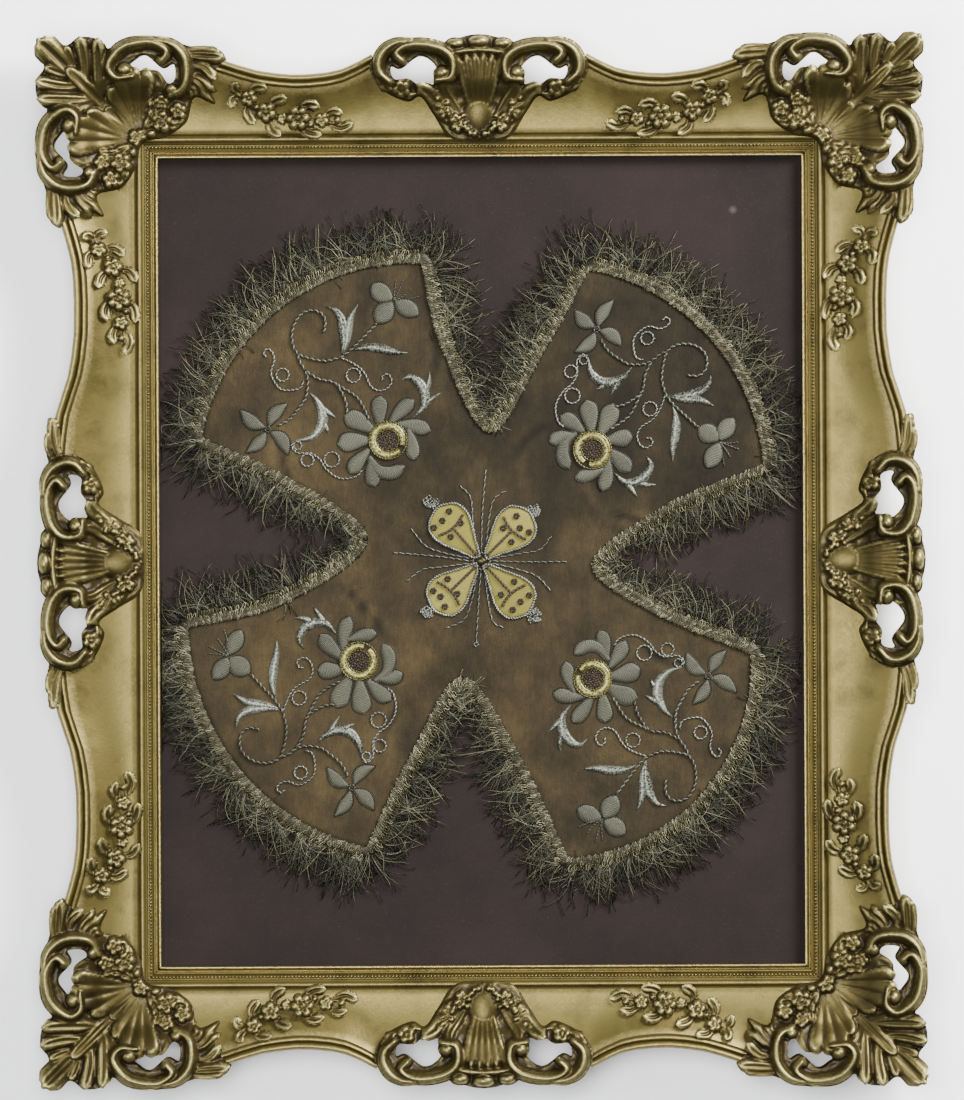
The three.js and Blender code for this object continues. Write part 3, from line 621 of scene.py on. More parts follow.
def scatter(shape, places, sizes):
    """Copies of one small shape at many places, as one part. sizes is one row of 3 for each."""
    points, quads, fans = shape
    count = len(places)
    moved = points[None] * np.asarray(sizes)[:, None, :] + np.asarray(places)[:, None, :]
    shift = (np.arange(count) * len(points))[:, None, None]
    return {
        "points": moved.reshape(-1, 3),
        "faces": [(quads[None] + shift).reshape(-1, 4), (fans[None] + shift).reshape(-1, 3)],
        "each": len(points),
    }


bead_shape = dome_grid(7, 3)
for name, side in SIDES.items():
    reach = side["half"] + BEAD["across"] - 1.2
    count = int(2 * reach / BEAD["pitch"])
    along = np.linspace(-reach, reach, count)
    places = np.stack([along, np.full(count, BEAD["across"]), np.full(count, BEAD["height"])], axis=1)
    sizes = np.tile([BEAD["radius"], BEAD["radius"], BEAD["tall"]], (count, 1))
    part = scatter(bead_shape, turned(places, side), sizes)
    # Each bead is lighter at its top, as rubbed wear and as painted highlight, and darker at its foot where
    # it meets the slip, as grime and as painted shade.
    high = np.tile(bead_shape[0][:, 2], count)
    piece = make_mesh(
        f"beads_{name}", part["points"], part["faces"], slip_gilding,
        {"hollow": np.clip(0.9 - high * 1.3, 0, 1), "wear_and_highlight": high * 0.55},
    )

# %% [markdown]
# ## Carved and pressed ornament
# Composition ornament is pressed in carved moulds: C-scrolls, a fluted shell, acanthus leaves and
# small flowers, pierced right through beside the scrolls. It is a relief seen from one side, so
# it is built as a height over a grid. Each form says how far a point lies inside it and how high
# it stands there, and the highest form wins, as in a mould. The grid is cut exactly along the
# outline, and a wall drops from the cut to a flat back.


# %% Relief on a grid
def new_relief(x_range, y_range, step):
    """A grid of x and y. The forms are laid in u and v, which are folded where a relief is mirrored."""
    x, y = np.meshgrid(np.arange(*x_range, step), np.arange(*y_range, step))
    blank = {"inside": np.full(x.shape, -9.0), "height": np.zeros(x.shape)}
    return {"x": x, "y": y, "u": x, "v": y, "step": step, **blank}


def lay(relief, inside, height):
    """Adds a form."""
    over = (inside > 0) & (height > relief["height"])
    relief["height"] = np.where(over, height, relief["height"])
    relief["inside"] = np.maximum(relief["inside"], inside)


def nearest_on(x, y, points, spacing=1.2):
    """Distance to a smooth line, and the share of its length passed there."""
    line = smooth_line(points, spacing)
    reach = np.concatenate([[0], np.cumsum(np.linalg.norm(np.diff(line, axis=0), axis=1))])
    best, share = np.full(x.shape, 1e9), np.zeros(x.shape)
    for k in range(len(line) - 1):
        (ax, ay), (bx, by) = line[k], line[k + 1]
        dx, dy = bx - ax, by - ay
        t = np.clip(((x - ax) * dx + (y - ay) * dy) / (dx * dx + dy * dy), 0, 1)
        away = (x - ax - t * dx) ** 2 + (y - ay - t * dy) ** 2
        nearer = away < best
        best = np.where(nearer, away, best)
        share = np.where(nearer, (reach[k] + t * (reach[k + 1] - reach[k])) / reach[-1], share)
    return np.sqrt(best), share


# %% Forms of the relief
def scroll(relief, points, widths, height, groove=0.0):
    """A rounded C-scroll or band of changing half-width, with a groove along each shoulder."""
    away, share = nearest_on(relief["u"], relief["v"], points)
    half = np.interp(share, np.linspace(0, 1, len(widths)), widths)
    t = np.clip(away / half, 0, 1)
    top = height * np.sqrt(1 - 0.96 * t**2) - groove * np.exp(-(((t - 0.5) / 0.2) ** 2))
    lay(relief, half - away, top)


def tongue(relief, points, width, height, groove=0.22):
    """One smooth lobe of acanthus: narrow at its root, round at its tip, with a sunk midrib."""
    away, share = nearest_on(relief["u"], relief["v"], points)
    half = width * np.interp(share, [0, 0.25, 0.55, 0.82, 0.95, 1], [0.35, 0.68, 0.95, 1.0, 0.72, 0.2])
    t = np.clip(away / half.clip(0.3), 0, 1)
    top = height * (0.5 + 0.5 * share) * np.sqrt(1 - 0.94 * t**2.4)
    top -= groove * height * np.exp(-((away / (0.16 * width + 0.35)) ** 2)) * np.sin(math.pi * share) ** 0.5
    lay(relief, half - away, top)


def leaf(relief, points, width, height, lobes):
    """An acanthus leaf with lobed edges, a sunk midrib and slanting veins."""
    away, share = nearest_on(relief["u"], relief["v"], points)
    slant = share * lobes - 0.5 * away / width
    notch = np.abs(np.sin(math.pi * slant)) ** 0.5
    half = width * (np.sin(math.pi * np.clip(share * 0.9 + 0.08, 0, 1)) ** 0.6) * (0.72 + 0.28 * notch)
    t = np.clip(away / half.clip(0.3), 0, 1)
    top = height * np.sqrt(1 - 0.94 * t**2.4) * (0.74 + 0.26 * notch)
    top -= 0.26 * height * np.exp(-((away / (0.12 * width + 0.3)) ** 2))
    lay(relief, half - away, top)


def rosette(relief, x, y, radius, height, petals, turn=0.0):
    """An open rose: cupped outer petals, a second ring between them, and a button."""
    dx, dy = relief["u"] - x, relief["v"] - y
    r = np.hypot(dx, dy)
    angle = np.arctan2(dy, dx) * petals / 2 + turn
    outer = np.abs(np.cos(angle)) ** 0.45
    inner = np.abs(np.sin(angle)) ** 0.5
    edge = radius * (0.72 + 0.28 * outer)
    t = np.clip(r / edge, 0, 1)
    top = height * (0.56 + 0.3 * outer * np.sin(math.pi * t**1.6)) * np.sqrt(1 - 0.9 * t**6)
    ring = np.clip(r / (0.56 * radius * (0.75 + 0.25 * inner)), 0, 1)
    top = np.maximum(top, height * (0.78 + 0.16 * inner * ring) * np.sqrt(1 - ring**5))
    top -= 0.22 * height * np.exp(-(((r / radius - 0.26) / 0.06) ** 2))
    lay(relief, edge - r, top)


def knob(relief, x, y, rx, ry, height):
    """A plain rounded boss or berry."""
    r = np.hypot((relief["u"] - x) / rx, (relief["v"] - y) / ry)
    lay(relief, (1 - r) * min(rx, ry), height * np.sqrt(np.clip(1 - r**2, 0, 1)))


def shell(relief, hinge, facing, spread, reach, flutes, height, low=0.35):
    """A fan of soft flutes from a hinge to a scalloped lip that is turned up."""
    dx, dy = relief["u"] - hinge[0], relief["v"] - hinge[1]
    r = np.hypot(dx, dy)
    angle = np.arctan2(dy, dx) - facing
    angle = (angle + math.pi) % (2 * math.pi) - math.pi
    share = np.clip(angle / spread, -1, 1)
    flute = np.abs(np.sin(math.pi * flutes * (share + 1) / 2)) ** 0.6
    edge = np.interp(share, np.linspace(-1, 1, len(reach)), reach) * (0.9 + 0.1 * flute)
    t = np.clip(r / edge, 0, 1)
    top = height * (low + (1 - low) * t**1.5) * (0.76 + 0.24 * flute)
    top *= np.sqrt(1 - 0.8 * np.clip((t - 0.88) / 0.12, 0, 1) ** 2)
    lay(relief, np.minimum(edge - r, (spread - np.abs(angle)) * r), top)


# %% From a relief to a solid
def blurred(values, reach):
    """A box blur, run twice, of a 2-D array."""
    for _ in range(2):
        for axis in (0, 1):
            margins = [(reach + 1, reach) if k == axis else (0, 0) for k in (0, 1)]
            total = np.cumsum(np.pad(values, margins, mode="edge"), axis=axis)
            length = values.shape[axis]
            high = np.take(total, np.arange(2 * reach + 1, 2 * reach + 1 + length), axis=axis)
            low = np.take(total, np.arange(0, length), axis=axis)
            values = (high - low) / (2 * reach + 1)
    return values


def cut_grid(inside):
    """The part of a grid where `inside` is above zero, cut exactly along its edge.

    Gives the whole cells, the cut cells as triangles, the edges of the cut, and each cut point as
    two grid points with a share between them. An outline so stays smooth at any angle.
    """
    columns = inside.shape[1]
    on = (inside > 0).astype(int)
    count = on[:-1, :-1] + on[1:, :-1] + on[:-1, 1:] + on[1:, 1:]
    r, c = np.nonzero(count == 4)
    first = r * columns + c
    quads = np.stack([first, first + 1, first + columns + 1, first + columns], axis=1)
    value = inside.ravel()
    number, ends, shares, triangles, rim = {}, [], [], [], []
    for r, c in zip(*np.nonzero((count > 0) & (count < 4))):
        first = int(r * columns + c)
        loop = (first, first + 1, first + columns + 1, first + columns)
        face, cut = [], []
        for a, b in zip(loop, loop[1:] + loop[:1]):
            if value[a] > 0:
                face.append(a)
            if (value[a] > 0) != (value[b] > 0):
                key = (min(a, b), max(a, b))
                if key not in number:
                    number[key] = inside.size + len(ends)
                    ends.append(key)
                    shares.append(value[key[0]] / (value[key[0]] - value[key[1]]))
                face.append(number[key])
                cut.append((number[key], value[a] > 0))
        triangles += [(face[0], face[k], face[k + 1]) for k in range(1, len(face) - 1)]
        for k, (point, leaving) in enumerate(cut):
            if leaving:
                rim.append((point, cut[(k + 1) % len(cut)][0]))
    return quads, np.array(triangles), np.array(rim), np.array(ends), np.clip(shares, 0.03, 0.97)


def relief_part(relief, base, bottom):
    """Points, faces and marks of a relief over a base height, walled down to `bottom`."""
    step, height, inside = relief["step"], relief["height"], relief["inside"].copy()
    inside[[0, -1], :] = -1.0
    inside[:, [0, -1]] = -1.0
    on = inside > 0
    quads, triangles, rim, ends, shares = cut_grid(inside)

    def between(values):
        flat = np.broadcast_to(values, inside.shape).ravel()
        return flat[ends[:, 0]] + (flat[ends[:, 1]] - flat[ends[:, 0]]) * shares

    # A cut point is as high as the relief beside it, or as low as the relief says for its rim.
    rim_height = blurred(np.where(on, height, 0), 1) / blurred(on.astype(float), 1).clip(0.05)
    if "rim" in relief:
        rim_height = relief["rim"] + (rim_height - relief["rim"]) * relief["fade"]
    soft = blurred(np.where(on, height, 0), max(1, int(round(1.8 / step))))
    wide = blurred(np.where(on, height, 0), max(1, int(round(4.0 / step))))
    # Sunk places are darkened as grime and as painted shade, and proud places lightened as rubbed wear and
    # as painted highlight.
    sunk = np.clip((soft - height) * 0.9, 0, 1) + np.clip((wide - height) * 0.28, 0, 0.7)
    proud = np.clip((height - soft) * 0.8, 0, 1) + np.clip((height - wide) * 0.13, 0, 0.6)
    faces = np.concatenate([quads.ravel(), triangles.ravel()])
    kept = np.unique(faces[faces < inside.size])
    number = np.zeros(inside.size + len(ends), dtype=np.int64)
    number[kept] = np.arange(len(kept))
    number[inside.size:] = np.arange(len(ends)) + len(kept)
    beside = np.where(on.ravel()[ends[:, 0]], ends[:, 0], ends[:, 1])
    places = (relief["x"], relief["y"], base + height)
    cuts = (between(relief["x"]), between(relief["y"]), between(base + rim_height))
    columns = [np.concatenate([grid.ravel()[kept], cut]) for grid, cut in zip(places, cuts)]
    upper = np.stack(columns, axis=1)
    lower = upper[len(kept):].copy()
    lower[:, 2] = between(bottom)
    rim = number[rim]
    below = rim - len(kept) + len(upper)
    walls = np.stack([rim[:, 1], rim[:, 0], below[:, 0], below[:, 1]], axis=1)
    points, faces = [upper, lower], [number[quads], number[triangles], walls]
    # The walls and the flat back get the darkest marks, as grime and as painted shade.
    hollow = [sunk.ravel()[kept], sunk.ravel()[beside], np.full(len(lower), 0.9)]
    wear_and_highlight = [proud.ravel()[kept], proud.ravel()[beside], np.zeros(len(lower))]
    if np.ndim(bottom) == 0:
        cell = on[:-1, :-1] & on[1:, :-1] & on[:-1, 1:] & on[1:, 1:]
        back_points, back_faces = flat_back(relief["x"], relief["y"], cell, bottom)
        cut_points = upper[number[triangles]].reshape(-1, 3)
        cut_points[:, 2] = bottom
        cut_faces = np.arange(len(cut_points)).reshape(-1, 3)[:, ::-1]
        faces.append(back_faces + len(upper) + len(lower))
        faces.append(cut_faces + len(upper) + len(lower) + len(back_points))
        points += [back_points, cut_points]
        hollow.append(np.full(len(back_points) + len(cut_points), 0.8))
        wear_and_highlight.append(np.zeros(len(back_points) + len(cut_points)))
    marks = {"hollow": np.concatenate(hollow), "wear_and_highlight": np.concatenate(wear_and_highlight)}
    return {"points": np.vstack(points), "faces": faces, "marks": marks}


def flat_back(x, y, cell, bottom):
    """The flat back in strips: each row of cells is one long face for each run of cells."""
    points, faces = [], []
    rows, columns = cell.shape
    for r in range(rows):
        line = np.flatnonzero(np.diff(np.concatenate([[0], cell[r].astype(int), [0]])))
        for start, end in zip(line[::2], line[1::2]):
            first = len(points)
            for rr, cc in ((r, start), (r + 1, start), (r + 1, end), (r, end)):
                points.append((x[rr, cc], y[rr, cc], bottom))
            faces.append((first, first + 1, first + 2, first + 3))
    return np.array(points), np.array(faces)


# %% Corner ornaments
GRID_STEP = 0.9
PLATE = {"low": 32.0, "slope": 0.2, "seat": 24.6, "over_cove": 0.7}
# Near the sight edge a relief rises over this distance, from a rim this far above the cove.
MELT = {"distance": 2.0, "rim": 0.3}


def eased(share):
    """A share held from 0 to 1, with a soft start and end."""
    share = np.clip(share, 0, 1)
    return share * share * (3 - 2 * share)


def plate_base(across, sweep):
    """Height that the ornaments grow from: on the cove at first, and on their own plate farther out."""
    plate = PLATE["low"] + PLATE["slope"] * across
    seat = cove_at(across, sweep) + PLATE["over_cove"]
    return seat + (plate - seat) * eased((across - 34.0) / 14.0)


def melt_into_cove(relief, outline, across, sweep):
    """Grow the relief from its base, and let it fall to the cove along its inner edge."""
    base = plate_base(across, sweep)
    edge = np.minimum(relief["inside"], outline)
    share = eased(edge / MELT["distance"])
    low = cove_at(across, sweep) + MELT["rim"] - base
    fade = np.clip((across - 36.0) / 6.0, 0, 1)
    share = share + (1 - share) * fade
    relief["height"] = low * (1 - share) + relief["height"] * share
    relief["inside"] = np.where(across < 40, edge, relief["inside"])
    relief["rim"] = low
    relief["fade"] = fade
    relief["base"] = base


def veins(u, v, size, depth):
    """Short irregular ridges, as the ground between pressed leaves has."""
    along = np.sin(u / size * 0.9 + 1.7 * np.sin(v / size * 0.55))
    bend = along * np.cos(v / size * 1.15 + 1.3 * np.sin(u / size * 0.4))
    return depth * (1 - np.abs(bend)) ** 1.5


def corner_relief():
    relief = new_relief((-54.0, 75.0), (-54.0, 75.0), GRID_STEP)
    along, depth = CORNER_REACH - relief["x"], CORNER_REACH - relief["y"]
    relief["u"], relief["v"] = np.maximum(along, depth), np.minimum(along, depth)
    u, v = relief["u"], relief["v"]
    hole = -polygon_inside(u, v, smooth_line(CORNER_HOLE, HOLE_STEP, closed=True))
    plate = np.minimum(polygon_inside(u, v, corner_outline()), hole)
    lay(relief, plate, 0.4 + veins(u, v, 3.4, 1.1))
    # Two fans open from a boss by the sight corner, one to each side of the corner leaf.
    shell(relief, (62.5, 60.5), math.radians(-102), math.radians(29), [32, 37, 41, 43, 40], 4, 7.0)
    tongue(relief, [(61, 59), (52, 46), (46.5, 35)], 5.4, 5.6)
    tongue(relief, [(60, 59), (50, 49), (43.5, 42.5)], 4.4, 5.0)
    # The corner leaf: a stem on the diagonal, its lobes, and the bud in the outermost corner.
    tongue(relief, [(46, 44), (34, 33), (20, 19)], 4.6, 6.6, 0.15)
    tongue(relief, [(40, 36), (42.5, 28), (49, 21.5)], 4.0, 6.0)
    tongue(relief, [(38, 35), (38.5, 20), (38.2, 1.8)], 5.2, 8.2)
    tongue(relief, [(30, 28), (30, 15), (27.2, 0.8)], 4.9, 8.0)
    tongue(relief, [(24, 22), (22, 14), (18.6, 6.2)], 3.6, 6.6)
    tongue(relief, [(22, 21), (14, 13.5), (2.4, 2.4)], 8.6, 9.0, 0.2)
    # The C-scroll with its volute, and the outer band.
    scroll(
        relief,
        [
            (59, 24.5), (49, 25), (44.5, 18.7), (48.8, 10.7), (56.2, 5.6), (68.5, 3.6), (76, 5.6),
            (80.4, 10), (76.8, 15.2),
        ],
        [2.0, 3.4, 4.2, 4.6, 4.7, 4.6, 4.2, 3.6, 2.6], 9.0, 1.0,
    )
    knob(relief, 54.0, 20.8, 5.8, 5.4, 9.2)
    knob(relief, 76.4, 14.2, 3.4, 3.0, 7.6)
    scroll(
        relief, [(71, 1.6), (83.8, 5.4), (91, 13.2), (92.4, 23), (90, 31.4), (82, 36)],
        [1.6, 3.6, 4.4, 4.4, 3.8, 2.4], 8.0, 1.1,
    )
    knob(relief, 83.0, 32.8, 4.2, 4.0, 7.8)
    # Leaves and flowers that run on along the rail.
    tongue(relief, [(93, 24), (101, 29), (108.4, 40.4)], 5.6, 6.6)
    tongue(relief, [(95, 18), (103, 19), (109.5, 26)], 4.0, 5.6)
    tongue(relief, [(90, 11), (101, 12), (115.4, 13.0)], 4.6, 6.6)
    tongue(relief, [(92, 7.5), (102, 8.6), (112, 9.6)], 3.0, 5.6)
    tongue(relief, [(90, 31), (95.5, 33), (97.4, 38)], 3.6, 5.6)
    leaf(relief, [(66, 57), (71, 47), (70, 38)], 4.6, 5.8, 3)
    leaf(relief, [(80, 56), (88, 53), (92.5, 50)], 3.4, 5.2, 2)
    rosette(relief, 76.6, 51.5, 7.6, 8.0, 5, 0.4)
    rosette(relief, 86.6, 45.4, 6.2, 7.0, 5, 1.1)
    rosette(relief, 76.6, 40.2, 5.6, 6.6, 5, 0.8)
    knob(relief, 83.4, 52.6, 3.0, 2.6, 5.6)
    knob(relief, 70.0, 58.6, 3.6, 3.0, 5.6)
    rosette(relief, 61.4, 61.4, 6.4, 6.8, 6, 0.2)
    outline = polygon_inside(u, v, corner_outline())
    melt_into_cove(relief, outline, CORNER_REACH - v, SWEEP["long"][-1][1])
    return relief


CORNERS = {
    "upper_right": {"turn": 0.0, "place": (HALF_X, HALF_Y)},
    "upper_left": {"turn": math.pi / 2, "place": (-HALF_X, HALF_Y)},
    "lower_left": {"turn": math.pi, "place": (-HALF_X, -HALF_Y)},
    "lower_right": {"turn": -math.pi / 2, "place": (HALF_X, -HALF_Y)},
}
relief = corner_relief()
part = relief_part(relief, relief["base"], PLATE["seat"])
for name, side in CORNERS.items():
    make_mesh(
        f"ornament_{name}", turned(part["points"], side), part["faces"], composition_gilding, part["marks"],
        replaces=[f"corner_{name}"],
    )


# %% Crests at the middle of each side
BERRIES = 22


def crest_relief(kind):
    relief = new_relief((-90.4, 90.5), (8.0, 76.0), GRID_STEP)
    relief["u"], relief["v"] = np.abs(relief["x"]), relief["y"]
    u, v = relief["u"], relief["v"]
    hole = -polygon_inside(u, v, smooth_line(CREST_HOLE, HOLE_STEP, closed=True))
    plate = np.minimum(polygon_inside(relief["x"], v, crest_outline(kind)), hole)
    lay(relief, plate, 0.4 + veins(u, v, 3.0, 1.1))
    # The shell in the middle rises from a smooth belly to three pads on its lip.
    shell(relief, (0, 8), math.pi / 2, math.radians(17), [56, 57, 57, 56], 6, 6.4, 0.3)
    knob(relief, 0, 25, 10.5, 11.5, 4.6)
    scroll(relief, [(0, 64.6), (8, 64.2), (19, 62.5)], [2.2, 2.3, 2.0], 6.8)
    knob(relief, 0, 69.4, 7.6, 4.8, 8.0)
    knob(relief, 14.4, 68.2, 6.6, 4.2, 7.0)
    # A ribbed leaf sweeps out from the belly on each side.
    tongue(relief, [(8, 20), (15, 31), (21, 40), (21, 47)], 4.2, 5.6)
    tongue(relief, [(10, 18), (20, 28), (29, 37), (37.5, 43.5)], 5.6, 7.0, 0.2)
    tongue(relief, [(12, 17), (22, 25), (31, 32.5), (37, 38.6)], 3.8, 6.0)
    # The C-scroll and the outer band.
    scroll(
        relief,
        [
            (26, 46.5), (18, 47.8), (15.6, 54), (16.8, 60), (21.5, 64.4), (28.5, 67), (37.7, 68.2),
            (46, 66.8), (50.6, 62.6), (46.6, 58),
        ],
        [2.0, 3.2, 4.0, 4.4, 4.5, 4.5, 4.3, 4.0, 3.4, 2.4], 8.8, 1.0,
    )
    knob(relief, 22.4, 50.4, 5.6, 5.0, 8.8)
    knob(relief, 47.4, 59.0, 3.2, 2.9, 7.4)
    scroll(
        relief, [(41, 70.6), (50.5, 69.0), (57.5, 64.8), (61.2, 58), (60.4, 51), (54.5, 45.4)],
        [1.6, 3.4, 4.3, 4.4, 3.8, 2.4], 7.8, 1.1,
    )
    rosette(relief, 47.5, 41.2, 6.2, 7.2, 5, 0.3)
    leaf(relief, [(36, 38.5), (45, 36.5), (56, 41), (63.5, 50)], 3.6, 5.0, 4)
    # Berries and small flowers hang at the foot of each leaf.
    berries = np.random.default_rng(31)
    for k in range(BERRIES):
        t = (k + 0.5) / BERRIES
        x = 3.0 + 25.0 * t + berries.normal(0, 1.3)
        y = 13.2 + 19.5 * t**1.3 + berries.uniform(0.5, 8.0)
        size = berries.uniform(1.6, 2.5)
        knob(relief, x, y, size, size, berries.uniform(5.2, 7.2))
    rosette(relief, 13.2, 19.4, 4.8, 6.8, 5, 0.9)
    rosette(relief, 21.4, 27.6, 4.6, 6.8, 5, 0.2)
    if kind == "long":
        tongue(relief, [(60, 58), (72, 63), (88.4, 64.6)], 4.0, 6.0)
        tongue(relief, [(60, 63), (70, 67), (80, 67)], 2.6, 5.0)
        knob(relief, 86.6, 65.4, 2.6, 2.3, 5.6)
    outline = polygon_inside(relief["x"], v, crest_outline(kind))
    melt_into_cove(relief, outline, v, SWEEP[kind][0][1])
    return relief


for kind in ("long", "short"):
    relief = crest_relief(kind)
    part = relief_part(relief, relief["base"], PLATE["seat"])
    for name, side in SIDES.items():
        if side["kind"] == kind:
            make_mesh(
                f"crest_ornament_{name}", turned(part["points"], side), part["faces"], composition_gilding,
                part["marks"], replaces=[f"crest_{name}"],
            )

# %% [markdown]
# ## Garlands on the cove
# Between the corners and the crests a spray of leaves and small roses lies on the hollow of each
# rail. It follows the moulding beneath it, so its base height is the rail's own.


# %% Garlands
def garland_relief(kind, half):
    relief = new_relief((half - 124.0, half - 42.0), (9.0, 47.0), 0.7)
    # u runs from the sight corner to the middle of the rail.
    relief["u"], relief["v"] = half - relief["x"], relief["y"]
    scroll(
        relief, [(50, 38), (60, 30), (74, 24.6), (90, 22.4), (112, 20.8)], [1.6, 1.8, 1.8, 1.6, 0.8], 2.8,
    )
    # Ribbon ends and leaves, then three roses and two buds.
    for spine, width, high in (
        ([(52, 38), (47.5, 42), (49, 45.4)], 3.6, 4.8),
        ([(52, 37), (46.6, 36), (45.4, 31)], 3.4, 4.6),
        ([(56, 36), (60, 42), (67, 42)], 3.8, 4.8),
        ([(56, 33), (55, 27), (59, 21)], 3.8, 4.6),
        ([(68, 28), (72, 34), (79, 36)], 3.8, 4.8),
        ([(68, 25), (69, 18), (75, 13.6)], 3.8, 4.6),
        ([(84, 27), (92, 32), (99, 31)], 3.8, 4.8),
        ([(85, 21), (92, 15.5), (100, 14)], 3.8, 4.6),
        ([(101, 24), (107, 28), (113, 27)], 3.2, 4.2),
        ([(104, 21), (112, 18), (119.6, 21)], 3.6, 4.4),
    ):
        tongue(relief, spine, width, high, 0.34)
    rosette(relief, 56.0, 36.0, 5.4, 6.0, 5, 0.3)
    rosette(relief, 66.5, 27.5, 6.6, 6.8, 5, 0.9)
    rosette(relief, 86.0, 24.0, 8.2, 7.4, 6, 0.1)
    rosette(relief, 76.4, 23.6, 3.8, 5.0, 5, 0.5)
    rosette(relief, 100.5, 22.8, 5.0, 5.6, 5, 0.6)
    knob(relief, 93.5, 20.0, 2.4, 2.4, 4.6)
    knob(relief, 60.6, 30.6, 2.2, 2.2, 4.6)
    knob(relief, 110.0, 22.8, 2.4, 2.2, 4.2)
    _, sweep = rail_widths(kind, relief["x"])
    relief["base"] = cove_at(relief["y"], sweep)
    return relief


for name, side in SIDES.items():
    relief = garland_relief(side["kind"], side["half"])
    part = relief_part(relief, relief["base"] + 0.1, relief["base"] - 1.2)
    mirror = part["points"] * [-1, 1, 1]
    other = [group[:, ::-1] + len(part["points"]) for group in part["faces"]]
    both = {key: np.tile(values, 2) for key, values in part["marks"].items()}
    make_mesh(
        f"garlands_{name}", turned(np.vstack([part["points"], mirror]), side), [*part["faces"], *other],
        composition_gilding, both,
    )

# %% [markdown]
# ## The mount
# The veil is laid on an aubergine cotton that is drawn over a pasteboard. Plain weave of about
# a millimetre, hardly bright, with some dust and one small pale smudge near the upper right corner.


# %% Mount cloth
def mount_cloth_material():
    material, tree, place = new_material("aubergine_cotton")
    threads = {"Vector": place, "Scale": 310.0, "Distortion": 0.6}
    warp, weft = (
        add(tree, "ShaderNodeTexWave", threads, bands_direction=axis).outputs["Fac"] for axis in ("X", "Y")
    )
    weave = reckon(tree, "MAXIMUM", warp, weft)
    shade = noise(tree, place, 14.0, 5.0, 0.6)
    base = ramp(tree, shade, [(0.3, paint("#161211")), (0.72, paint("#1f1817"))])
    slub = noise(tree, place, 900.0, 3.0)
    lint = ramp(tree, slub, [(0.6, (0, 0, 0, 1)), (0.78, (1, 1, 1, 1))])
    threaded = blend(tree, reckon(tree, "MULTIPLY", lint, 0.3), base, paint("#332b28"))
    # The smudge fades out 3 mm from its middle.
    away = add(tree, "ShaderNodeVectorMath", {0: place, 1: (0.1555, 0.215, 0.0195)}, operation="DISTANCE")
    smudge = mapped(tree, away.outputs["Value"], (0.0005, 0.003), (0.22, 0.0))
    colour = blend(tree, smudge, threaded, paint("#625c58"))
    normal = bumped(tree, weave, 0.3, 0.0002)
    finish_material(tree, {"Base Color": colour}, normal, Roughness=0.95, Specular_IOR_Level=0.12)
    return material


cotton = mount_cloth_material()
CLOTH = {"width": 411.4, "height": 512.4, "top": 19.5, "thick": 0.8, "step": 6.0}


def panel(width, height, top, thick, step, wave):
    """A closed sheet, with its top a little uneven away from its edges."""
    x, y = np.meshgrid(*(np.linspace(-size / 2, size / 2, int(size / step)) for size in (width, height)))
    calm = np.clip((width / 2 - np.abs(x)) / 20, 0, 1) * np.clip((height / 2 - np.abs(y)) / 20, 0, 1)
    z = top + wave(x, y) * calm
    rows, columns = x.shape
    upper = np.stack([x.ravel(), y.ravel(), z.ravel()], axis=1)
    lower = upper - [0, 0, thick]
    face = grid_faces(rows, columns)
    count = rows * columns
    index = np.arange(count).reshape(rows, columns)
    ring = np.concatenate([index[0, :-1], index[:-1, -1], index[-1, :0:-1], index[:0:-1, 0]])
    after = np.roll(ring, -1)
    walls = np.stack([after, ring, ring + count, after + count], axis=1)
    return np.vstack([upper, lower]), [face, face[:, ::-1] + count, walls]


def cloth_wave(x, y):
    return 0.06 * np.sin(x * 0.021 + 1.2 * np.sin(y * 0.013)) + 0.05 * np.sin(y * 0.033 + x * 0.011)


points, faces = panel(*CLOTH.values(), cloth_wave)
mount_piece = make_mesh(
    "stretched_mount_cloth", points, faces, cotton, replaces=["mount_cloth"],
)

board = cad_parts["mount_board"]
board.data.materials.clear()
board.data.materials.append(pasteboard)

# %% [markdown]
# ## The veil's outline
# The veil is round with four deep notches, as it would lie over a chalice with its lobes hanging.
# Each lobe is an arc between two corners, and each notch a soft V with a rounded apex. These are
# the same tables as the model's.

# %% Outline tables
LOBES = {
    "upper_left": {"first": (-171, 76.4), "crown": (-129, 150), "last": (-36.3, 182.8)},
    "upper_right": {"first": (67.3, 178.3), "crown": (132, 145), "last": (173.2, 58.5)},
    "lower_right": {"first": (165, -58.1), "crown": (129.7, -148.5), "last": (52.4, -182.5)},
    "lower_left": {"first": (-71.6, -175.5), "crown": (-136, -141), "last": (-179.9, -40.2)},
}
NOTCHES = [
    {"leg": (-24.3, 132), "apex": (5.5, 78.2), "next_leg": (39.6, 128.6)},
    {"leg": (113.8, 33.9), "apex": (67.9, -1.9), "next_leg": (103.9, -31.7)},
    {"leg": (22.6, -118.8), "apex": (-12.2, -71), "next_leg": (-45.4, -121)},
    {"leg": (-121.8, -26.1), "apex": (-69.6, 13.3), "next_leg": (-119.3, 52.4)},
]
FOLDS = [
    {"from": (-62, 10), "to": (-22, -52), "height": 1.5, "spread": 7},
    {"from": (38, 44), "to": (74, 26), "height": 1.4, "spread": 6},
    {"from": (-6, 74), "to": (-40, 118), "height": 1.0, "spread": 9},
    {"from": (12, -48), "to": (66, -36), "height": 1.1, "spread": 8},
    {"from": (-100, 60), "to": (-48, 66), "height": 0.9, "spread": 9},
    {"from": (30, -92), "to": (44, -140), "height": 1.0, "spread": 8},
]


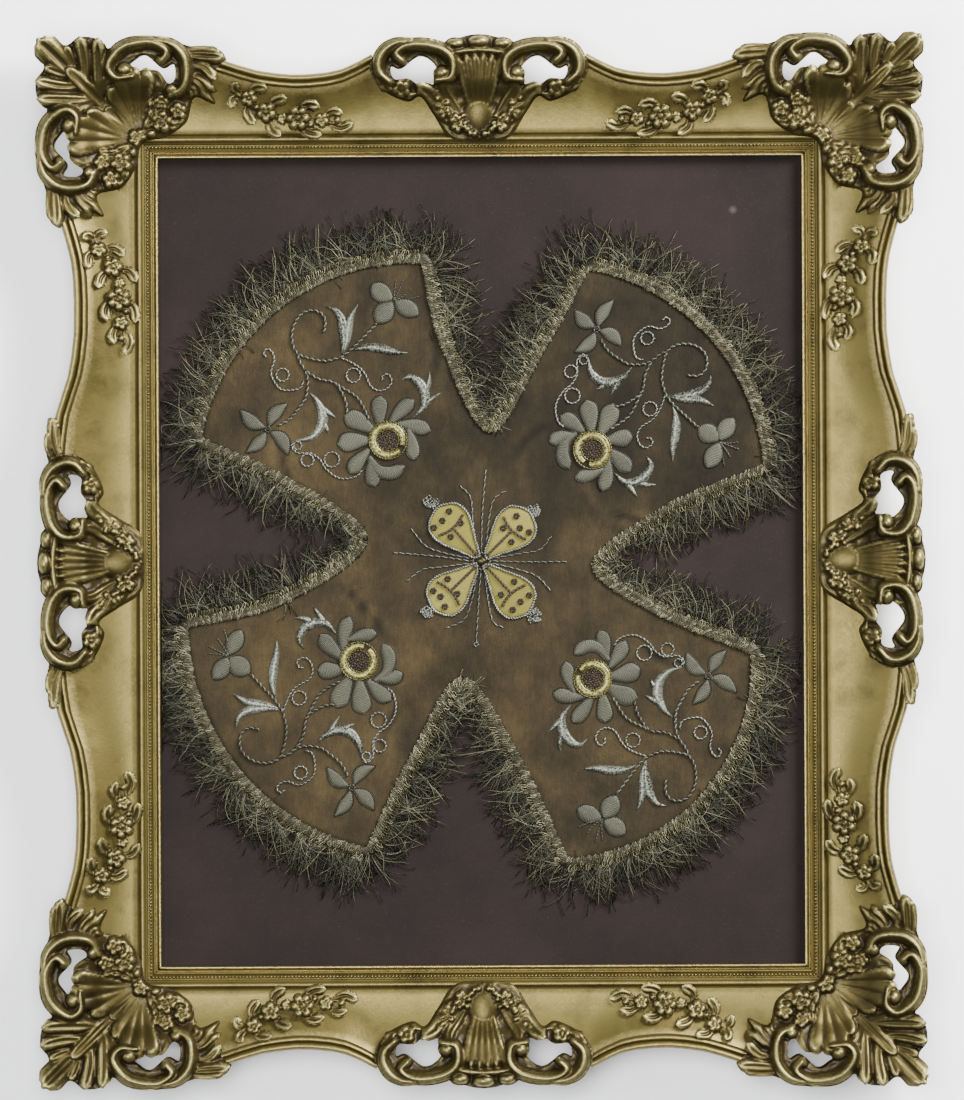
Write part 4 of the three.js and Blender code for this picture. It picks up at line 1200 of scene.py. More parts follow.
def circle_arc(a, b, c, count):
    """Points on the circle through a, b and c, clockwise from a to c."""
    a, b, c = (np.asarray(p, dtype=float) for p in (a, b, c))
    matrix = 2 * np.array([b - a, c - a])
    centre = np.linalg.solve(matrix, [b @ b - a @ a, c @ c - a @ a])
    radius = np.linalg.norm(a - centre)
    start = math.atan2(*(a - centre)[::-1])
    sweep = math.atan2(*(c - centre)[::-1]) - start
    if sweep > 0:
        sweep -= 2 * math.pi
    angle = start + sweep * np.linspace(0, 1, count)
    return centre + radius * np.stack([np.cos(angle), np.sin(angle)], axis=1)


def lobe_line(index):
    """One lobe's share of the outline, from the apex before it to the apex after it."""
    lobes = list(LOBES.values())
    lobe, before, after = lobes[index], NOTCHES[index - 1], NOTCHES[index]

    def notch(first, middle, last):
        curve = smooth_line([first, middle["leg"], middle["apex"], middle["next_leg"], last], 0.5)
        return curve, np.argmin(np.linalg.norm(curve - np.array(middle["apex"]), axis=1))

    inward, cut_in = notch(lobes[index - 1]["last"], before, lobe["first"])
    outward, cut_out = notch(lobe["last"], after, lobes[(index + 1) % 4]["first"])
    arc = circle_arc(lobe["first"], lobe["crown"], lobe["last"], 400)
    line = np.vstack([inward[cut_in:-1], arc[:-1], outward[: cut_out + 1]])
    # Round the corners a little, and keep the ends where the lobes meet.
    kernel = np.exp(-((np.arange(-6, 7) / 3.0) ** 2))
    kernel /= kernel.sum()
    soft = np.stack(
        [np.convolve(np.pad(line[:, k], 6, mode="edge"), kernel, "valid") for k in (0, 1)], axis=1,
    )
    soft[0], soft[-1] = line[0], line[-1]
    return smooth_line(soft[::2], 1.0)


LINES = {name: lobe_line(k) for k, name in enumerate(LOBES)}
for name, line in LINES.items():
    print("outline of", name, "mm:", round(float(np.linalg.norm(np.diff(line, axis=0), axis=1).sum()), 1))


def shifted(line, out):
    """A line moved outward. The lobes run clockwise, so outward is to the left."""
    _, normal = directions(line)
    return line + normal * out


# %% [markdown]
# ## Velvet
# Brown silk velvet, worn and warmer in the upper left, with a few soft folds and creases. The
# pile is shorter than a millimetre, so it is a fine bump with sheen and not strands.

# %% Velvet surface
VELVET = {"low": 19.8, "thick": 1.3, "under_header": 1.5, "rings": 37}
CREASES = [
    {"line": [(66, 56.5), (68.5, 50), (71, 44), (74, 36.5)], "depth": 0.8, "width": 1.6},
    {"line": [(-81.5, -17.5), (-74, -27), (-66, -38), (-56, -49)], "depth": 0.9, "width": 1.9},
    {"line": [(-118, 48), (-122, 62), (-124, 78)], "depth": 0.5, "width": 2.2},
    {"line": [(-30, 110), (-27, 126), (-30, 146)], "depth": 0.5, "width": 2.4},
    {"line": [(112, 10), (98, 22), (80, 30)], "depth": 0.5, "width": 2.4},
    {"line": [(-50, -86), (-60, -104), (-64, -124)], "depth": 0.45, "width": 2.4},
    {"line": [(96, -52), (112, -62), (132, -62)], "depth": 0.45, "width": 2.2},
    {"line": [(18, 62), (30, 76), (42, 84)], "depth": 0.4, "width": 2.4},
]


def velvet_top(x, y):
    """Height of the velvet's face: its folds, creases and a slight unevenness."""
    x, y = np.asarray(x, dtype=float), np.asarray(y, dtype=float)
    z = np.full(x.shape, VELVET["low"] + VELVET["thick"])
    z += 0.22 * np.sin(x * 0.045 + 1.4 * np.sin(y * 0.031)) + 0.18 * np.sin(y * 0.071 + x * 0.023)
    for fold in FOLDS:
        (ax, ay), (bx, by) = fold["from"], fold["to"]
        dx, dy = bx - ax, by - ay
        t = np.clip(((x - ax) * dx + (y - ay) * dy) / (dx * dx + dy * dy), 0, 1)
        away = (x - ax - t * dx) ** 2 + (y - ay - t * dy) ** 2
        z += 0.8 * fold["height"] * np.exp(-away / fold["spread"] ** 2)
    return z + 0.2


def crease_shares(x, y, crease, spread):
    """How deep points lie in a crease, and how far they stand on its two shoulders."""
    away, share = nearest_on(x, y, crease["line"])
    away = away / crease["width"]
    depth = crease["depth"] * np.sin(math.pi * share.clip(0, 1)) ** 0.5
    return depth * np.exp(-(away**2)), depth * np.exp(-(((away - 2.2) / spread) ** 2))


def velvet_sheet():
    """The velvet as a closed sheet: rings from the middle to its edge."""
    edge = np.vstack([shifted(line, VELVET["under_header"])[:-1] for line in LINES.values()])[::3]
    shares = np.linspace(0, 1, VELVET["rings"] + 1)[1:] ** 0.85
    rings = edge[None] * shares[:, None, None]
    x, y = rings[..., 0].ravel(), rings[..., 1].ravel()
    calm = np.repeat(1 - shares**6, len(edge))
    flat = VELVET["low"] + VELVET["thick"]
    z = flat + (velvet_top(x, y) - flat) * calm
    for crease in CREASES:
        bottom, shoulders = crease_shares(x, y, crease, 1.4)
        z += 0.7 * shoulders - 1.5 * bottom
    upper = np.stack([x, y, z], axis=1)
    upper = np.vstack([upper, [[0, 0, flat + 0.2]]])
    lower = upper.copy()
    lower[:, 2] = np.minimum(lower[:, 2] - VELVET["thick"], VELVET["low"] + 1.2)
    rows, columns = len(shares), len(edge)
    quads = grid_faces(rows, columns, wrap=True)
    c = np.arange(columns)
    middle = np.full(columns, rows * columns)
    fan = np.stack([middle, (c + 1) % columns, c], axis=1)
    count = len(upper)
    rim = (rows - 1) * columns + c
    after = (rows - 1) * columns + (c + 1) % columns
    walls = np.stack([rim, after, after + count, rim + count], axis=1)
    faces = [quads, fan, quads[:, ::-1] + count, fan[:, ::-1] + count, walls]
    after_x, after_y = np.roll(edge, -1, axis=0).T
    area = 0.5 * abs(float(np.sum(edge[:, 0] * after_y - after_x * edge[:, 1])))
    return np.vstack([upper, lower]), faces, edge, area


# %% Velvet material
def velvet_material():
    material, tree, place = new_material("brown_silk_velvet")
    # Worn patches of 20 to 30 mm, streaked a little along the cloth's length.
    patches = noise(tree, stretched(tree, place, (1.0, 0.8, 1.0)), 34.0, 7.0, 0.62)
    # This mark holds the worn patches, and the painted shade and highlight of the creases.
    total = reckon(tree, "ADD", patches, mark(tree, "pile_wear_and_crease_shade"))
    browns = ((0.0, "#120f08"), (0.34, "#1d180e"), (0.64, "#292214"), (1.0, "#372e1b"))
    colour = ramp(tree, mapped(tree, total, (0.38, 0.92)), [(at, paint(brown)) for at, brown in browns])
    tufts = noise(tree, place, 1400.0, 3.0, 0.7)
    speck = ramp(tree, tufts, [(0.35, (0.55, 0.55, 0.55, 1)), (0.7, (1.3, 1.3, 1.3, 1))])
    mixed = blend(tree, 0.6, colour, speck, "MULTIPLY")
    # Where the pile has gone, the ground shows as fine ribs down the cloth.
    worn = noise(tree, stretched(tree, place, (1.0, 0.2, 1.0)), 760.0, 4.0)
    faded = ramp(tree, worn, [(0.4, (0.78, 0.78, 0.8, 1)), (0.66, (1.3, 1.28, 1.2, 1))])
    ribbed = blend(tree, 0.4, mixed, faded, "MULTIPLY")
    finish_material(
        tree, {"Base Color": ribbed}, bumped(tree, tufts, 0.5, 0.0004),
        Roughness=0.92, Specular_IOR_Level=0.15, Sheen_Weight=0.06, Sheen_Roughness=0.4,
    )
    return material


silk_velvet = velvet_material()
points, faces, velvet_edge, velvet_area = velvet_sheet()
# The pile is warmest and most worn in the upper left lobe, and darkest on the right.
x, y = points[:, 0], points[:, 1]
pile_wear_and_crease_shade = np.full(len(x), 0.1)
for at, reach, more in (
    ((-118, 96), 52, 0.2), ((-40, 150), 45, 0.08), ((90, -110), 75, 0.12), ((-105, -95), 75, 0.24),
    ((10, 5), 45, 0.08), ((110, 110), 75, -0.12), ((5, 85), 55, -0.12), ((-60, 20), 35, 0.05),
):
    pile_wear_and_crease_shade += more * np.exp(-((x - at[0]) ** 2 + (y - at[1]) ** 2) / reach**2)
# A crease's bottom is darkened as painted shade, and its two shoulders are lightened, as rubbed wear
# and as painted highlight.
for crease in CREASES:
    bottom, shoulders = crease_shares(x, y, crease, 1.2)
    pile_wear_and_crease_shade += 0.2 * shoulders - 0.34 * bottom
velvet_piece = make_mesh(
    "velvet_veil", points, faces, silk_velvet, {"pile_wear_and_crease_shade": pile_wear_and_crease_shade}, replaces=["velvet"],
)
print("velvet flat area, mm2:", round(velvet_area), " extent, mm:", np.ptp(velvet_edge, axis=0).round(1))

# %% [markdown]
# ## Header and fringe
# The header is crocheted in gilt thread: rows of loops over a flat band 8 mm wide. From it hangs
# a fringe of thousands of fine twisted strands. They are tangled and kinked, so each strand is a
# short random walk that keeps to its own direction on the whole, from a seeded generator.


# %% Metal thread
def thread_material(name, dark, middle, light, roughness, metal, scale=1300.0):
    material, tree, place = new_material(name)
    wound = noise(tree, place, scale, 3.0, 0.65)
    tarnish = noise(tree, place, 60.0, 4.0)
    share = reckon(tree, "ADD", wound, mark(tree, "tint"))
    total = reckon(tree, "ADD", share, reckon(tree, "MULTIPLY", tarnish, 0.5))
    stops = [(0.05, paint(dark)), (0.45, paint(middle)), (0.9, paint(light))]
    colour = ramp(tree, mapped(tree, total, (0.5, 2.0)), stops)
    finish_material(
        tree, {"Base Color": colour}, bumped(tree, wound, 0.4, 0.0002),
        Roughness=roughness, Metallic=metal, Specular_IOR_Level=0.3,
    )
    return material


header_thread = thread_material("gilt_crochet_thread", "#131108", "#48442d", "#979276", 0.42, 0.6)
fringe_thread = thread_material("tarnished_fringe_thread", "#0b0a05", "#2c2c1c", "#5f5d49", 0.45, 0.5)

# %% Header
HEADER = {"width": 8.0, "low": 19.75}
# The section of its band, as how far out, and how high its face and its underside are.
BAND = [(-0.2, 2.3, 0.5), (0.6, 2.6, 0.4), (4.0, 2.2, 0.2), (7.6, 1.4, 0.0), (8.4, 0.5, 0.0)]
# The rows of loops, as how far out, how far apart, how big and how high they are.
LOOP_ROWS = [(1.2, 1.5, 1.25, 2.75), (3.7, 1.6, 1.6, 2.55), (6.5, 1.75, 1.9, 1.95)]
LOOP_THREAD = 0.29


def header_band(line):
    """A flat band under the loops, from the velvet's edge outward."""
    count, upper, lower = len(line), [], []
    for out, high, low in BAND:
        row = shifted(line, out)
        upper.append(np.column_stack([row, np.full(count, HEADER["low"] + high)]))
        lower.append(np.column_stack([row, np.full(count, HEADER["low"] + low)]))
    top = grid_faces(len(BAND), count)
    total = len(BAND) * count
    index = np.arange(total).reshape(len(BAND), count)
    ring = np.concatenate([index[0, :-1], index[:-1, -1], index[-1, :0:-1], index[:0:-1, 0]])
    after = np.roll(ring, -1)
    walls = np.stack([after, ring, ring + total, after + total], axis=1)
    return {
        "points": np.vstack([*upper, *lower]),
        "faces": [top, top[:, ::-1] + total, walls],
        "marks": {"tint": np.full(2 * total, -0.25)},
    }


def loops(line, random):
    """Crocheted loops: rows that stand on edge over the band, leaning forward."""
    parts = []
    dense = smooth_line(line, 0.5)
    along, normal = directions(dense)
    reach = np.concatenate([[0], np.cumsum(np.linalg.norm(np.diff(dense, axis=0), axis=1))])
    turn = np.linspace(0, 2 * math.pi, 7, endpoint=False)
    for out, pitch, size, lift in LOOP_ROWS:
        for at in np.arange(pitch / 2, reach[-1] - pitch / 2, pitch):
            at += random.normal(0, 0.2) * pitch
            k = min(int(np.searchsorted(reach, at)), len(dense) - 1)
            centre = dense[k] + normal[k] * (out + random.normal(0, 0.18))
            lean = random.normal(0.3, 0.3)
            a = size * 0.42 * random.uniform(0.75, 1.3)
            b = size * 1.2 * random.uniform(0.75, 1.25)
            s = np.cos(turn) * a + np.sin(turn) * lean * b
            t = np.sin(turn) * b
            flat = centre + s[:, None] * along[k] + t[:, None] * normal[k]
            z = HEADER["low"] + lift + 0.35 * np.cos(turn) + random.normal(0, 0.08)
            tint = random.uniform(0.0, 0.75)
            parts.append(
                tube(np.column_stack([flat, z]), LOOP_THREAD, 3, closed=True, marks={"tint": tint})
            )
    return parts


random = np.random.default_rng(11)
for name, line in LINES.items():
    parts = [header_band(smooth_line(line, 2.5))] + loops(line, random)
    points, faces, marks = join_parts(parts)
    make_mesh(f"header_{name}", points, faces, header_thread, marks)

# %% Fringe
FRINGE = {"per_mm": 3.8, "length": 24.0, "segments": 5, "radius": 0.46, "lock": 3.0, "short": 0.34}
FRINGE_LIMIT = {"x": 196.2, "y": 246.5, "low": 0.1, "high": 3.4}


def fringe(line, random):
    """Strands as 3-sided tubes along seeded random walks, for one lobe."""
    line = smooth_line(line, 1.0)
    base = shifted(line, HEADER["width"] - 1.6)
    _, normal = directions(line)
    reach = np.concatenate([[0], np.cumsum(np.linalg.norm(np.diff(base, axis=0), axis=1))])
    count = int(reach[-1] * FRINGE["per_mm"])
    at = np.sort(random.uniform(0, reach[-1], count))
    x, y = np.interp(at, reach, base[:, 0]), np.interp(at, reach, base[:, 1])
    nx, ny = np.interp(at, reach, normal[:, 0]), np.interp(at, reach, normal[:, 1])
    angle = np.arctan2(ny, nx)
    # In the notches two lobes' fringes meet, so strands there are shorter and lie along the gap.
    from_end = np.minimum(at, reach[-1] - at)
    room = np.clip(from_end / 48, 0.55, 1)
    length = FRINGE["length"] * room * np.clip(random.normal(1.0, 0.2, count), 0.5, 1.45)
    # About a third of the strands are short and lie deep, so little mount shows near the header.
    under = random.uniform(0, 1, count) < FRINGE["short"]
    length = np.where(under, 0.6 * length, length)
    turn_out = np.where(at < reach[-1] / 2, -1, 1) * (1 - np.clip(from_end / 70, 0, 1)) * -0.5
    # Strands hang in locks that lean one way together.
    lock = (at / FRINGE["lock"]).astype(int)
    lean = random.normal(0, 0.36, lock.max() + 1)[lock]
    curl = random.normal(0, 0.17, lock.max() + 1)[lock]
    heading = angle + turn_out + lean + random.normal(0, 0.17, count)
    steps = FRINGE["segments"]
    places = np.zeros((count, steps + 1, 3))
    root = np.stack([x, y, np.full(count, HEADER["low"] + 1.1)], axis=1)
    places[:, 0] = root + random.normal(0, 0.3, (count, 3)) * [1, 1, 0.5]
    level = np.where(under, random.uniform(0.2, 0.7, count), random.uniform(0.5, 2.3, count))
    wander = curl + random.normal(0, 0.16, count)
    for k in range(steps):
        heading = heading + random.normal(0, 0.16, count) + wander
        wander *= 0.95
        step = length / steps
        places[:, k + 1, 0] = places[:, k, 0] + np.cos(heading) * step
        places[:, k + 1, 1] = places[:, k, 1] + np.sin(heading) * step
        share = (k + 1) / steps
        high = HEADER["low"] + (1.1 + 0.5 * level) * (1 - share) + level * share
        places[:, k + 1, 2] = high + random.normal(0, 0.22, count)
    low, high = HEADER["low"] + FRINGE_LIMIT["low"], HEADER["low"] + FRINGE_LIMIT["high"]
    limits = np.array([FRINGE_LIMIT["x"], FRINGE_LIMIT["y"]])
    places[..., :2] = np.clip(places[..., :2], -limits, limits)
    places[..., 2] = np.clip(places[..., 2], low, high)
    # Each strand has a random tone, lightened with its height as painted highlight, and the short
    # strands under the others are darkened as painted shade.
    shine = (1.1 * random.uniform(0, 1, count) ** 1.5 - 0.15) * (0.5 + 0.5 * level / 2.3)
    return strands(places, FRINGE["radius"], np.where(under, -0.35, shine))


def strands(places, radius, tint):
    """Three-sided tubes round rows of points, all of one length, as one part."""
    count, steps, _ = places.shape
    along = np.gradient(places, axis=1)
    along /= np.linalg.norm(along, axis=2, keepdims=True).clip(1e-6)
    side = np.cross(along, [0.0, 0.0, 1.0])
    side /= np.linalg.norm(side, axis=2, keepdims=True).clip(1e-6)
    up = np.cross(side, along)
    ring = []
    taper = np.linspace(1.0, 0.6, steps)[None, :, None]
    for k in range(3):
        turn = 2 * math.pi * k / 3 + math.pi / 2
        ring.append(places + radius * taper * (math.cos(turn) * side + math.sin(turn) * up))
    points = np.stack(ring, axis=2).reshape(-1, 3)
    one = grid_faces(steps, 3, wrap=True)
    shift = (np.arange(count) * steps * 3)[:, None, None]
    quads = (one[None] + shift).reshape(-1, 4)
    ends = np.array([[2, 1, 0], [steps * 3 - 3, steps * 3 - 2, steps * 3 - 1]])
    caps = (ends[None] + shift).reshape(-1, 3)
    return {"points": points, "faces": [quads, caps], "marks": {"tint": np.repeat(tint, steps * 3)}}


random = np.random.default_rng(23)
for name, line in LINES.items():
    part = fringe(line, random)
    make_mesh(
        f"fringe_strands_{name}", part["points"], part["faces"], fringe_thread, part["marks"],
        replaces=[f"fringe_{name}"],
    )

# %% [markdown]
# ## Embroidery
# Each lobe carries the same traditional spray, turned with the lobe: a large open flower with a
# gilt ring, a four-petalled and a three-petalled flower, barbed leaves of silver purl, and stems
# and tendrils of twisted cord couched down on the velvet. It is drawn once, for the upper left
# lobe, and carried to the others by the map that takes its three flowers to theirs.

# %% Threads of the embroidery
stem_cord = thread_material("silver_gilt_stem_cord", "#10100c", "#313129", "#666659", 0.42, 0.5)
bright_cord = thread_material("silver_tendril_cord", "#161713", "#3f403a", "#7d7f76", 0.36, 0.6)
gold_purl = thread_material("gold_purl", "#19150a", "#4a4421", "#86805a", 0.34, 0.65, 1100.0)
brown_chenille = thread_material("brown_chenille", "#110c07", "#281e14", "#43372a", 0.8, 0.1)


def stitched_material(name, dark, middle, light, pitch, roughness, metal, chips=0.0, span=(0.4, 2.1)):
    """Flat stitches that lie across a shape, counted by the mark "stitch" in mm along it."""
    material, tree, place = new_material(name)
    wobble = noise(tree, place, 420.0, 3.0)
    moved = reckon(tree, "MULTIPLY_ADD", wobble, 1.1, mark(tree, "stitch"))
    wave = reckon(tree, "SINE", reckon(tree, "MULTIPLY", moved, 2 * math.pi / pitch))
    ridge = mapped(tree, wave, (-1.0, 1.0))
    grain = noise(tree, place, 1500.0, 3.0, 0.7)
    cells = add(tree, "ShaderNodeTexVoronoi", {"Vector": place, "Scale": 680.0}).outputs["Distance"]
    mixed = add(tree, "ShaderNodeMix", {"Factor": chips, "A": ridge, "B": cells}).outputs["Result"]
    tinted = reckon(tree, "ADD", reckon(tree, "ADD", mixed, grain), mark(tree, "tint"))
    stops = [(0.1, paint(dark)), (0.45, paint(middle)), (0.9, paint(light))]
    colour = ramp(tree, mapped(tree, tinted, span), stops)
    finish_material(
        tree, {"Base Color": colour}, bumped(tree, mixed, 0.35, 0.0003),
        Roughness=roughness, Metallic=metal, Specular_IOR_Level=0.3,
    )
    return material


petal_silk = stitched_material(
    "couched_sage_silk", "#101009", "#212116", "#3d3d2e", 0.95, 0.5, 0.22, 0.0, (0.65, 1.9),
)
silver_purl = stitched_material(
    "silver_purl_chips", "#070805", "#1b1c16", "#55574d", 1.2, 0.36, 0.5, 0.85, (0.85, 1.75),
)
gold_chips = stitched_material(
    "gold_purl_chips", "#0d0b04", "#2a270f", "#6a6537", 1.2, 0.36, 0.5, 0.85, (0.8, 1.7),
)
yellow_silk = stitched_material("yellow_satin_stitch", "#302d09", "#50490b", "#716a24", 0.8, 0.5, 0.2)

# %% Padded shapes and cords
LEAF = (0.04, 0.45, 0.8, 1.0, 0.96, 0.74, 0.42, 0.04)
PETAL = (0.34, 0.52, 0.7, 0.86, 0.97, 1.0, 0.86, 0.12)
ROUND = (0.2, 0.62, 0.88, 1.0, 1.0, 0.9, 0.66, 0.12)
BARB = (0.8, 1.0, 0.8, 0.5, 0.05)


def pad(spine, half_width, height, profile, across=9, lift=0.0, tint=0.4):
    """A padded shape along a spine, with its edge a little below the pile."""
    line = smooth_line(spine, 1.1)
    _, normal = directions(line)
    share = np.linspace(0, 1, len(line))
    half = half_width * np.interp(share, np.linspace(0, 1, len(profile)), profile)
    t = np.sin(np.linspace(-math.pi / 2, math.pi / 2, across))
    flat = line[:, None] + normal[:, None] * (half[:, None] * t)[..., None]
    crown = np.sqrt(1 - 0.98 * t**2)[None] * np.clip(half / (0.45 * half_width), 0, 1)[:, None] ** 0.5
    z = velvet_top(flat[..., 0], flat[..., 1]) - 0.3 + (height + 0.3) * crown + lift
    reach = np.concatenate([[0], np.cumsum(np.linalg.norm(np.diff(line, axis=0), axis=1))])
    stitch = np.repeat(reach, across) + 0.5 * np.tile(t, len(line)) * np.repeat(half, across) * 0.3
    edge = np.vstack([flat[:, 0], flat[::-1, -1]])
    return {
        "points": np.concatenate([flat, z[..., None]], axis=-1).reshape(-1, 3),
        "faces": [grid_faces(len(line), across)[:, ::-1]],
        "marks": {"tint": tint, "stitch": stitch},
        "edge": edge,
    }


def cord(points, radius, pitch, tint, closed=False, lift=0.0, spacing=0.75):
    """A two-ply twisted cord laid on the velvet, as two tubes that wind round each other."""
    line = smooth_line(points, spacing, closed)
    _, normal = directions(line, closed)
    step = np.linalg.norm(np.diff(line, axis=0), axis=1)
    reach = np.concatenate([[0], np.cumsum(step)])
    length = reach[-1] + (np.linalg.norm(line[0] - line[-1]) if closed else 0)
    turns = max(1, round(length / pitch))
    base = velvet_top(line[:, 0], line[:, 1]) + radius * 1.3 + lift
    plies = []
    for ply in (0, 1):
        angle = 2 * math.pi * (reach / length * turns + ply / 2)
        flat = line + normal * (np.cos(angle) * radius * 0.9)[:, None]
        z = base + np.sin(angle) * radius * 0.8
        plies.append(
            tube(np.column_stack([flat, z]), radius, 5, closed, {"tint": tint - 0.35 + 0.75 * ply})
        )
    return plies


def edge_thread(edge, radius, tint):
    """One thin thread round a padded shape."""
    line = smooth_line(edge[::3], 1.2, closed=True)
    z = velvet_top(line[:, 0], line[:, 1]) + 0.3
    return tube(np.column_stack([line, z]), radius, 4, True, {"tint": tint})


def circle(centre, radius, count=14, start=0.0, sweep=2 * math.pi):
    angle = start + sweep * np.linspace(0, 1, count, endpoint=sweep < 6.28)
    return np.asarray(centre) + radius * np.stack([np.cos(angle), np.sin(angle)], axis=1)


# %% The spray, drawn for the upper left lobe
# Petals run from root to tip, with their full width in mm.
BIG_FLOWER = {"centre": (-57.0, 74.5), "ring": 9.1, "ring_half": 2.5, "eye": 6.4, "tufts": 56, "knots": 16}
GOLDEN_ANGLE = 2.399963
BIG_PETALS = [
    ([(-65.5, 80.0), (-75.5, 86.5), (-84.0, 89.8)], 11.7),
    ([(-61.8, 83.5), (-62.2, 93.5), (-61.8, 102.0)], 10.6),
    ([(-56.0, 84.5), (-48.0, 93.5), (-40.8, 99.2)], 9.8),
    ([(-51.0, 84.5), (-41.0, 83.5), (-30.8, 80.0)], 9.2),
    ([(-44.5, 81.5), (-42.0, 71.5), (-41.2, 62.0)], 8.6),
    ([(-68.5, 64.5), (-63.2, 56.5), (-55.1, 54.4), (-46.8, 58.6)], 8.3),
    ([(-67.5, 62.5), (-67.2, 54.0), (-64.7, 45.8)], 9.0),
    ([(-68.5, 69.0), (-75.5, 61.5), (-80.3, 54.0)], 10.0),
    ([(-68.0, 74.5), (-78.0, 74.0), (-88.0, 72.2)], 12.0),
]
STAR_CENTRE = (-130.5, 81.5)
STAR_PETALS = [
    ([(-131.5, 82.5), (-139.5, 85.5), (-147.5, 93.8)], 8.4),
    ([(-130.0, 83.0), (-126.5, 91.0), (-118.4, 97.6)], 8.4),
    ([(-131.5, 80.5), (-136.5, 73.0), (-144.1, 67.4)], 8.6),
    ([(-129.5, 80.5), (-122.0, 75.5), (-118.2, 65.6)], 8.4),
]
TREFOIL_CENTRE = (-53.0, 160.0)
TREFOIL_PETALS = [
    ([(-54.0, 160.8), (-60.5, 165.0), (-66.2, 170.6)], 11.3),
    ([(-54.0, 159.0), (-58.5, 153.5), (-63.4, 146.6)], 12.2),
    ([(-52.0, 159.6), (-45.5, 156.0), (-37.9, 151.2)], 10.8),
]
STAMENS = [(-51.5, 172.6), (-47.0, 173.0), (-42.6, 167.0), (-37.4, 162.6)]
PURL_LEAVES = [
    ([(-85.2, 127.0), (-83.8, 134.6), (-83.9, 141.8), (-85.2, 149.0), (-88.8, 154.6), (-95.0, 156.8)], 6.2),
    ([(-84.5, 127.0), (-82.2, 134.6), (-81.2, 141.8), (-79.4, 149.9), (-75.0, 158.0)], 5.6),
    ([(-78.8, 129.7), (-70.7, 131.6), (-61.7, 131.0), (-52.7, 128.7), (-44.0, 128.0)], 6.0),
    ([(-105.1, 104.1), (-100.2, 98.6), (-97.0, 89.6), (-99.0, 81.5), (-105.3, 76.1), (-114.8, 74.4)], 6.6),
    ([(-49.7, 110.2), (-43.8, 113.4), (-37.8, 110.0), (-34.2, 103.0), (-35.2, 94.9), (-41.6, 88.2)], 6.4),
]
PURL_BARBS = [
    [(-99.6, 95.2), (-94.4, 92.3), (-88.8, 88.3)],
    [(-97.9, 86.2), (-94.8, 82.6), (-93.6, 78.6)],
    [(-35.0, 103.4), (-31.8, 109.3), (-31.2, 116.2)],
    [(-35.4, 96.0), (-29.8, 99.8), (-24.6, 103.4)],
]
STEMS = [
    [(-63.5, 146.0), (-70.5, 139.0), (-79.5, 130.0), (-86.0, 125.5)],
    [
        (-86.0, 125.5), (-95.0, 123.5), (-104.5, 125.0), (-112.5, 128.5), (-115.5, 136.0), (-114.5, 145.0),
        (-110.0, 152.0), (-104.0, 154.5), (-98.0, 153.0), (-95.0, 148.0), (-96.0, 141.0),
    ],
    [
        (-112.5, 128.5), (-110.5, 122.5), (-107.5, 117.5), (-106.0, 111.5), (-107.0, 102.0), (-110.5, 96.0),
        (-117.0, 88.0), (-124.0, 84.0),
    ],
    [(-107.5, 117.5), (-99.5, 112.5), (-89.0, 109.5), (-83.0, 99.0), (-82.0, 91.5)],
    [(-89.0, 109.5), (-77.0, 102.0), (-72.5, 96.0), (-68.5, 87.5)],
]
TENDRILS = [
    [
        (-86.0, 125.5), (-78.5, 122.0), (-73.5, 118.5), (-70.5, 114.5), (-67.5, 108.0), (-62.5, 105.0),
        (-57.0, 106.5), (-54.5, 110.5), (-56.5, 115.0), (-60.0, 114.0), (-60.4, 111.0),
    ],
    [
        (-108.5, 111.5), (-110.5, 107.0), (-116.5, 105.5), (-123.0, 106.5), (-127.5, 112.5), (-128.5, 117.5),
        (-126.5, 123.5), (-127.5, 128.5), (-130.5, 131.0), (-133.0, 128.5), (-131.5, 125.8),
    ],
    [
        (-115.0, 74.0), (-116.0, 70.5), (-112.5, 67.0), (-108.0, 67.0), (-103.5, 66.5), (-98.5, 62.5),
        (-95.5, 57.5), (-89.5, 52.5), (-83.5, 51.0), (-76.5, 52.5), (-73.0, 56.0),
    ],
]
CORD_RINGS = [
    {"centre": (-78.0, 114.5), "radius": 4.3},
    {"centre": (-121.5, 115.0), "radius": 3.9},
    {"centre": (-112.5, 71.5), "radius": 2.5},
    {"centre": (-106.5, 62.5), "radius": 3.8},
    {"centre": (-91.5, 62.8), "radius": 4.6},
]
# The same three flowers in every lobe: large, four-petalled, three-petalled.
FLOWERS = {
    "upper_left": [(-57, 74.5), (-131, 82), (-53, 159)],
    "upper_right": [(68.5, 68), (72, 142.5), (145.5, 72.5)],
    "lower_right": [(68, -72.5), (139.5, -71.5), (73.5, -158)],
    "lower_left": [(-75.5, -61), (-80.5, -139), (-154.5, -57.5)],
}


def lobe_map(name):
    """The affine map that takes the upper left lobe's flowers to this lobe's."""
    source = np.column_stack([np.array(FLOWERS["upper_left"], dtype=float), np.ones(3)])
    matrix = np.linalg.solve(source, np.array(FLOWERS[name], dtype=float))
    return lambda points: np.column_stack([np.asarray(points, dtype=float), np.ones(len(points))]) @ matrix


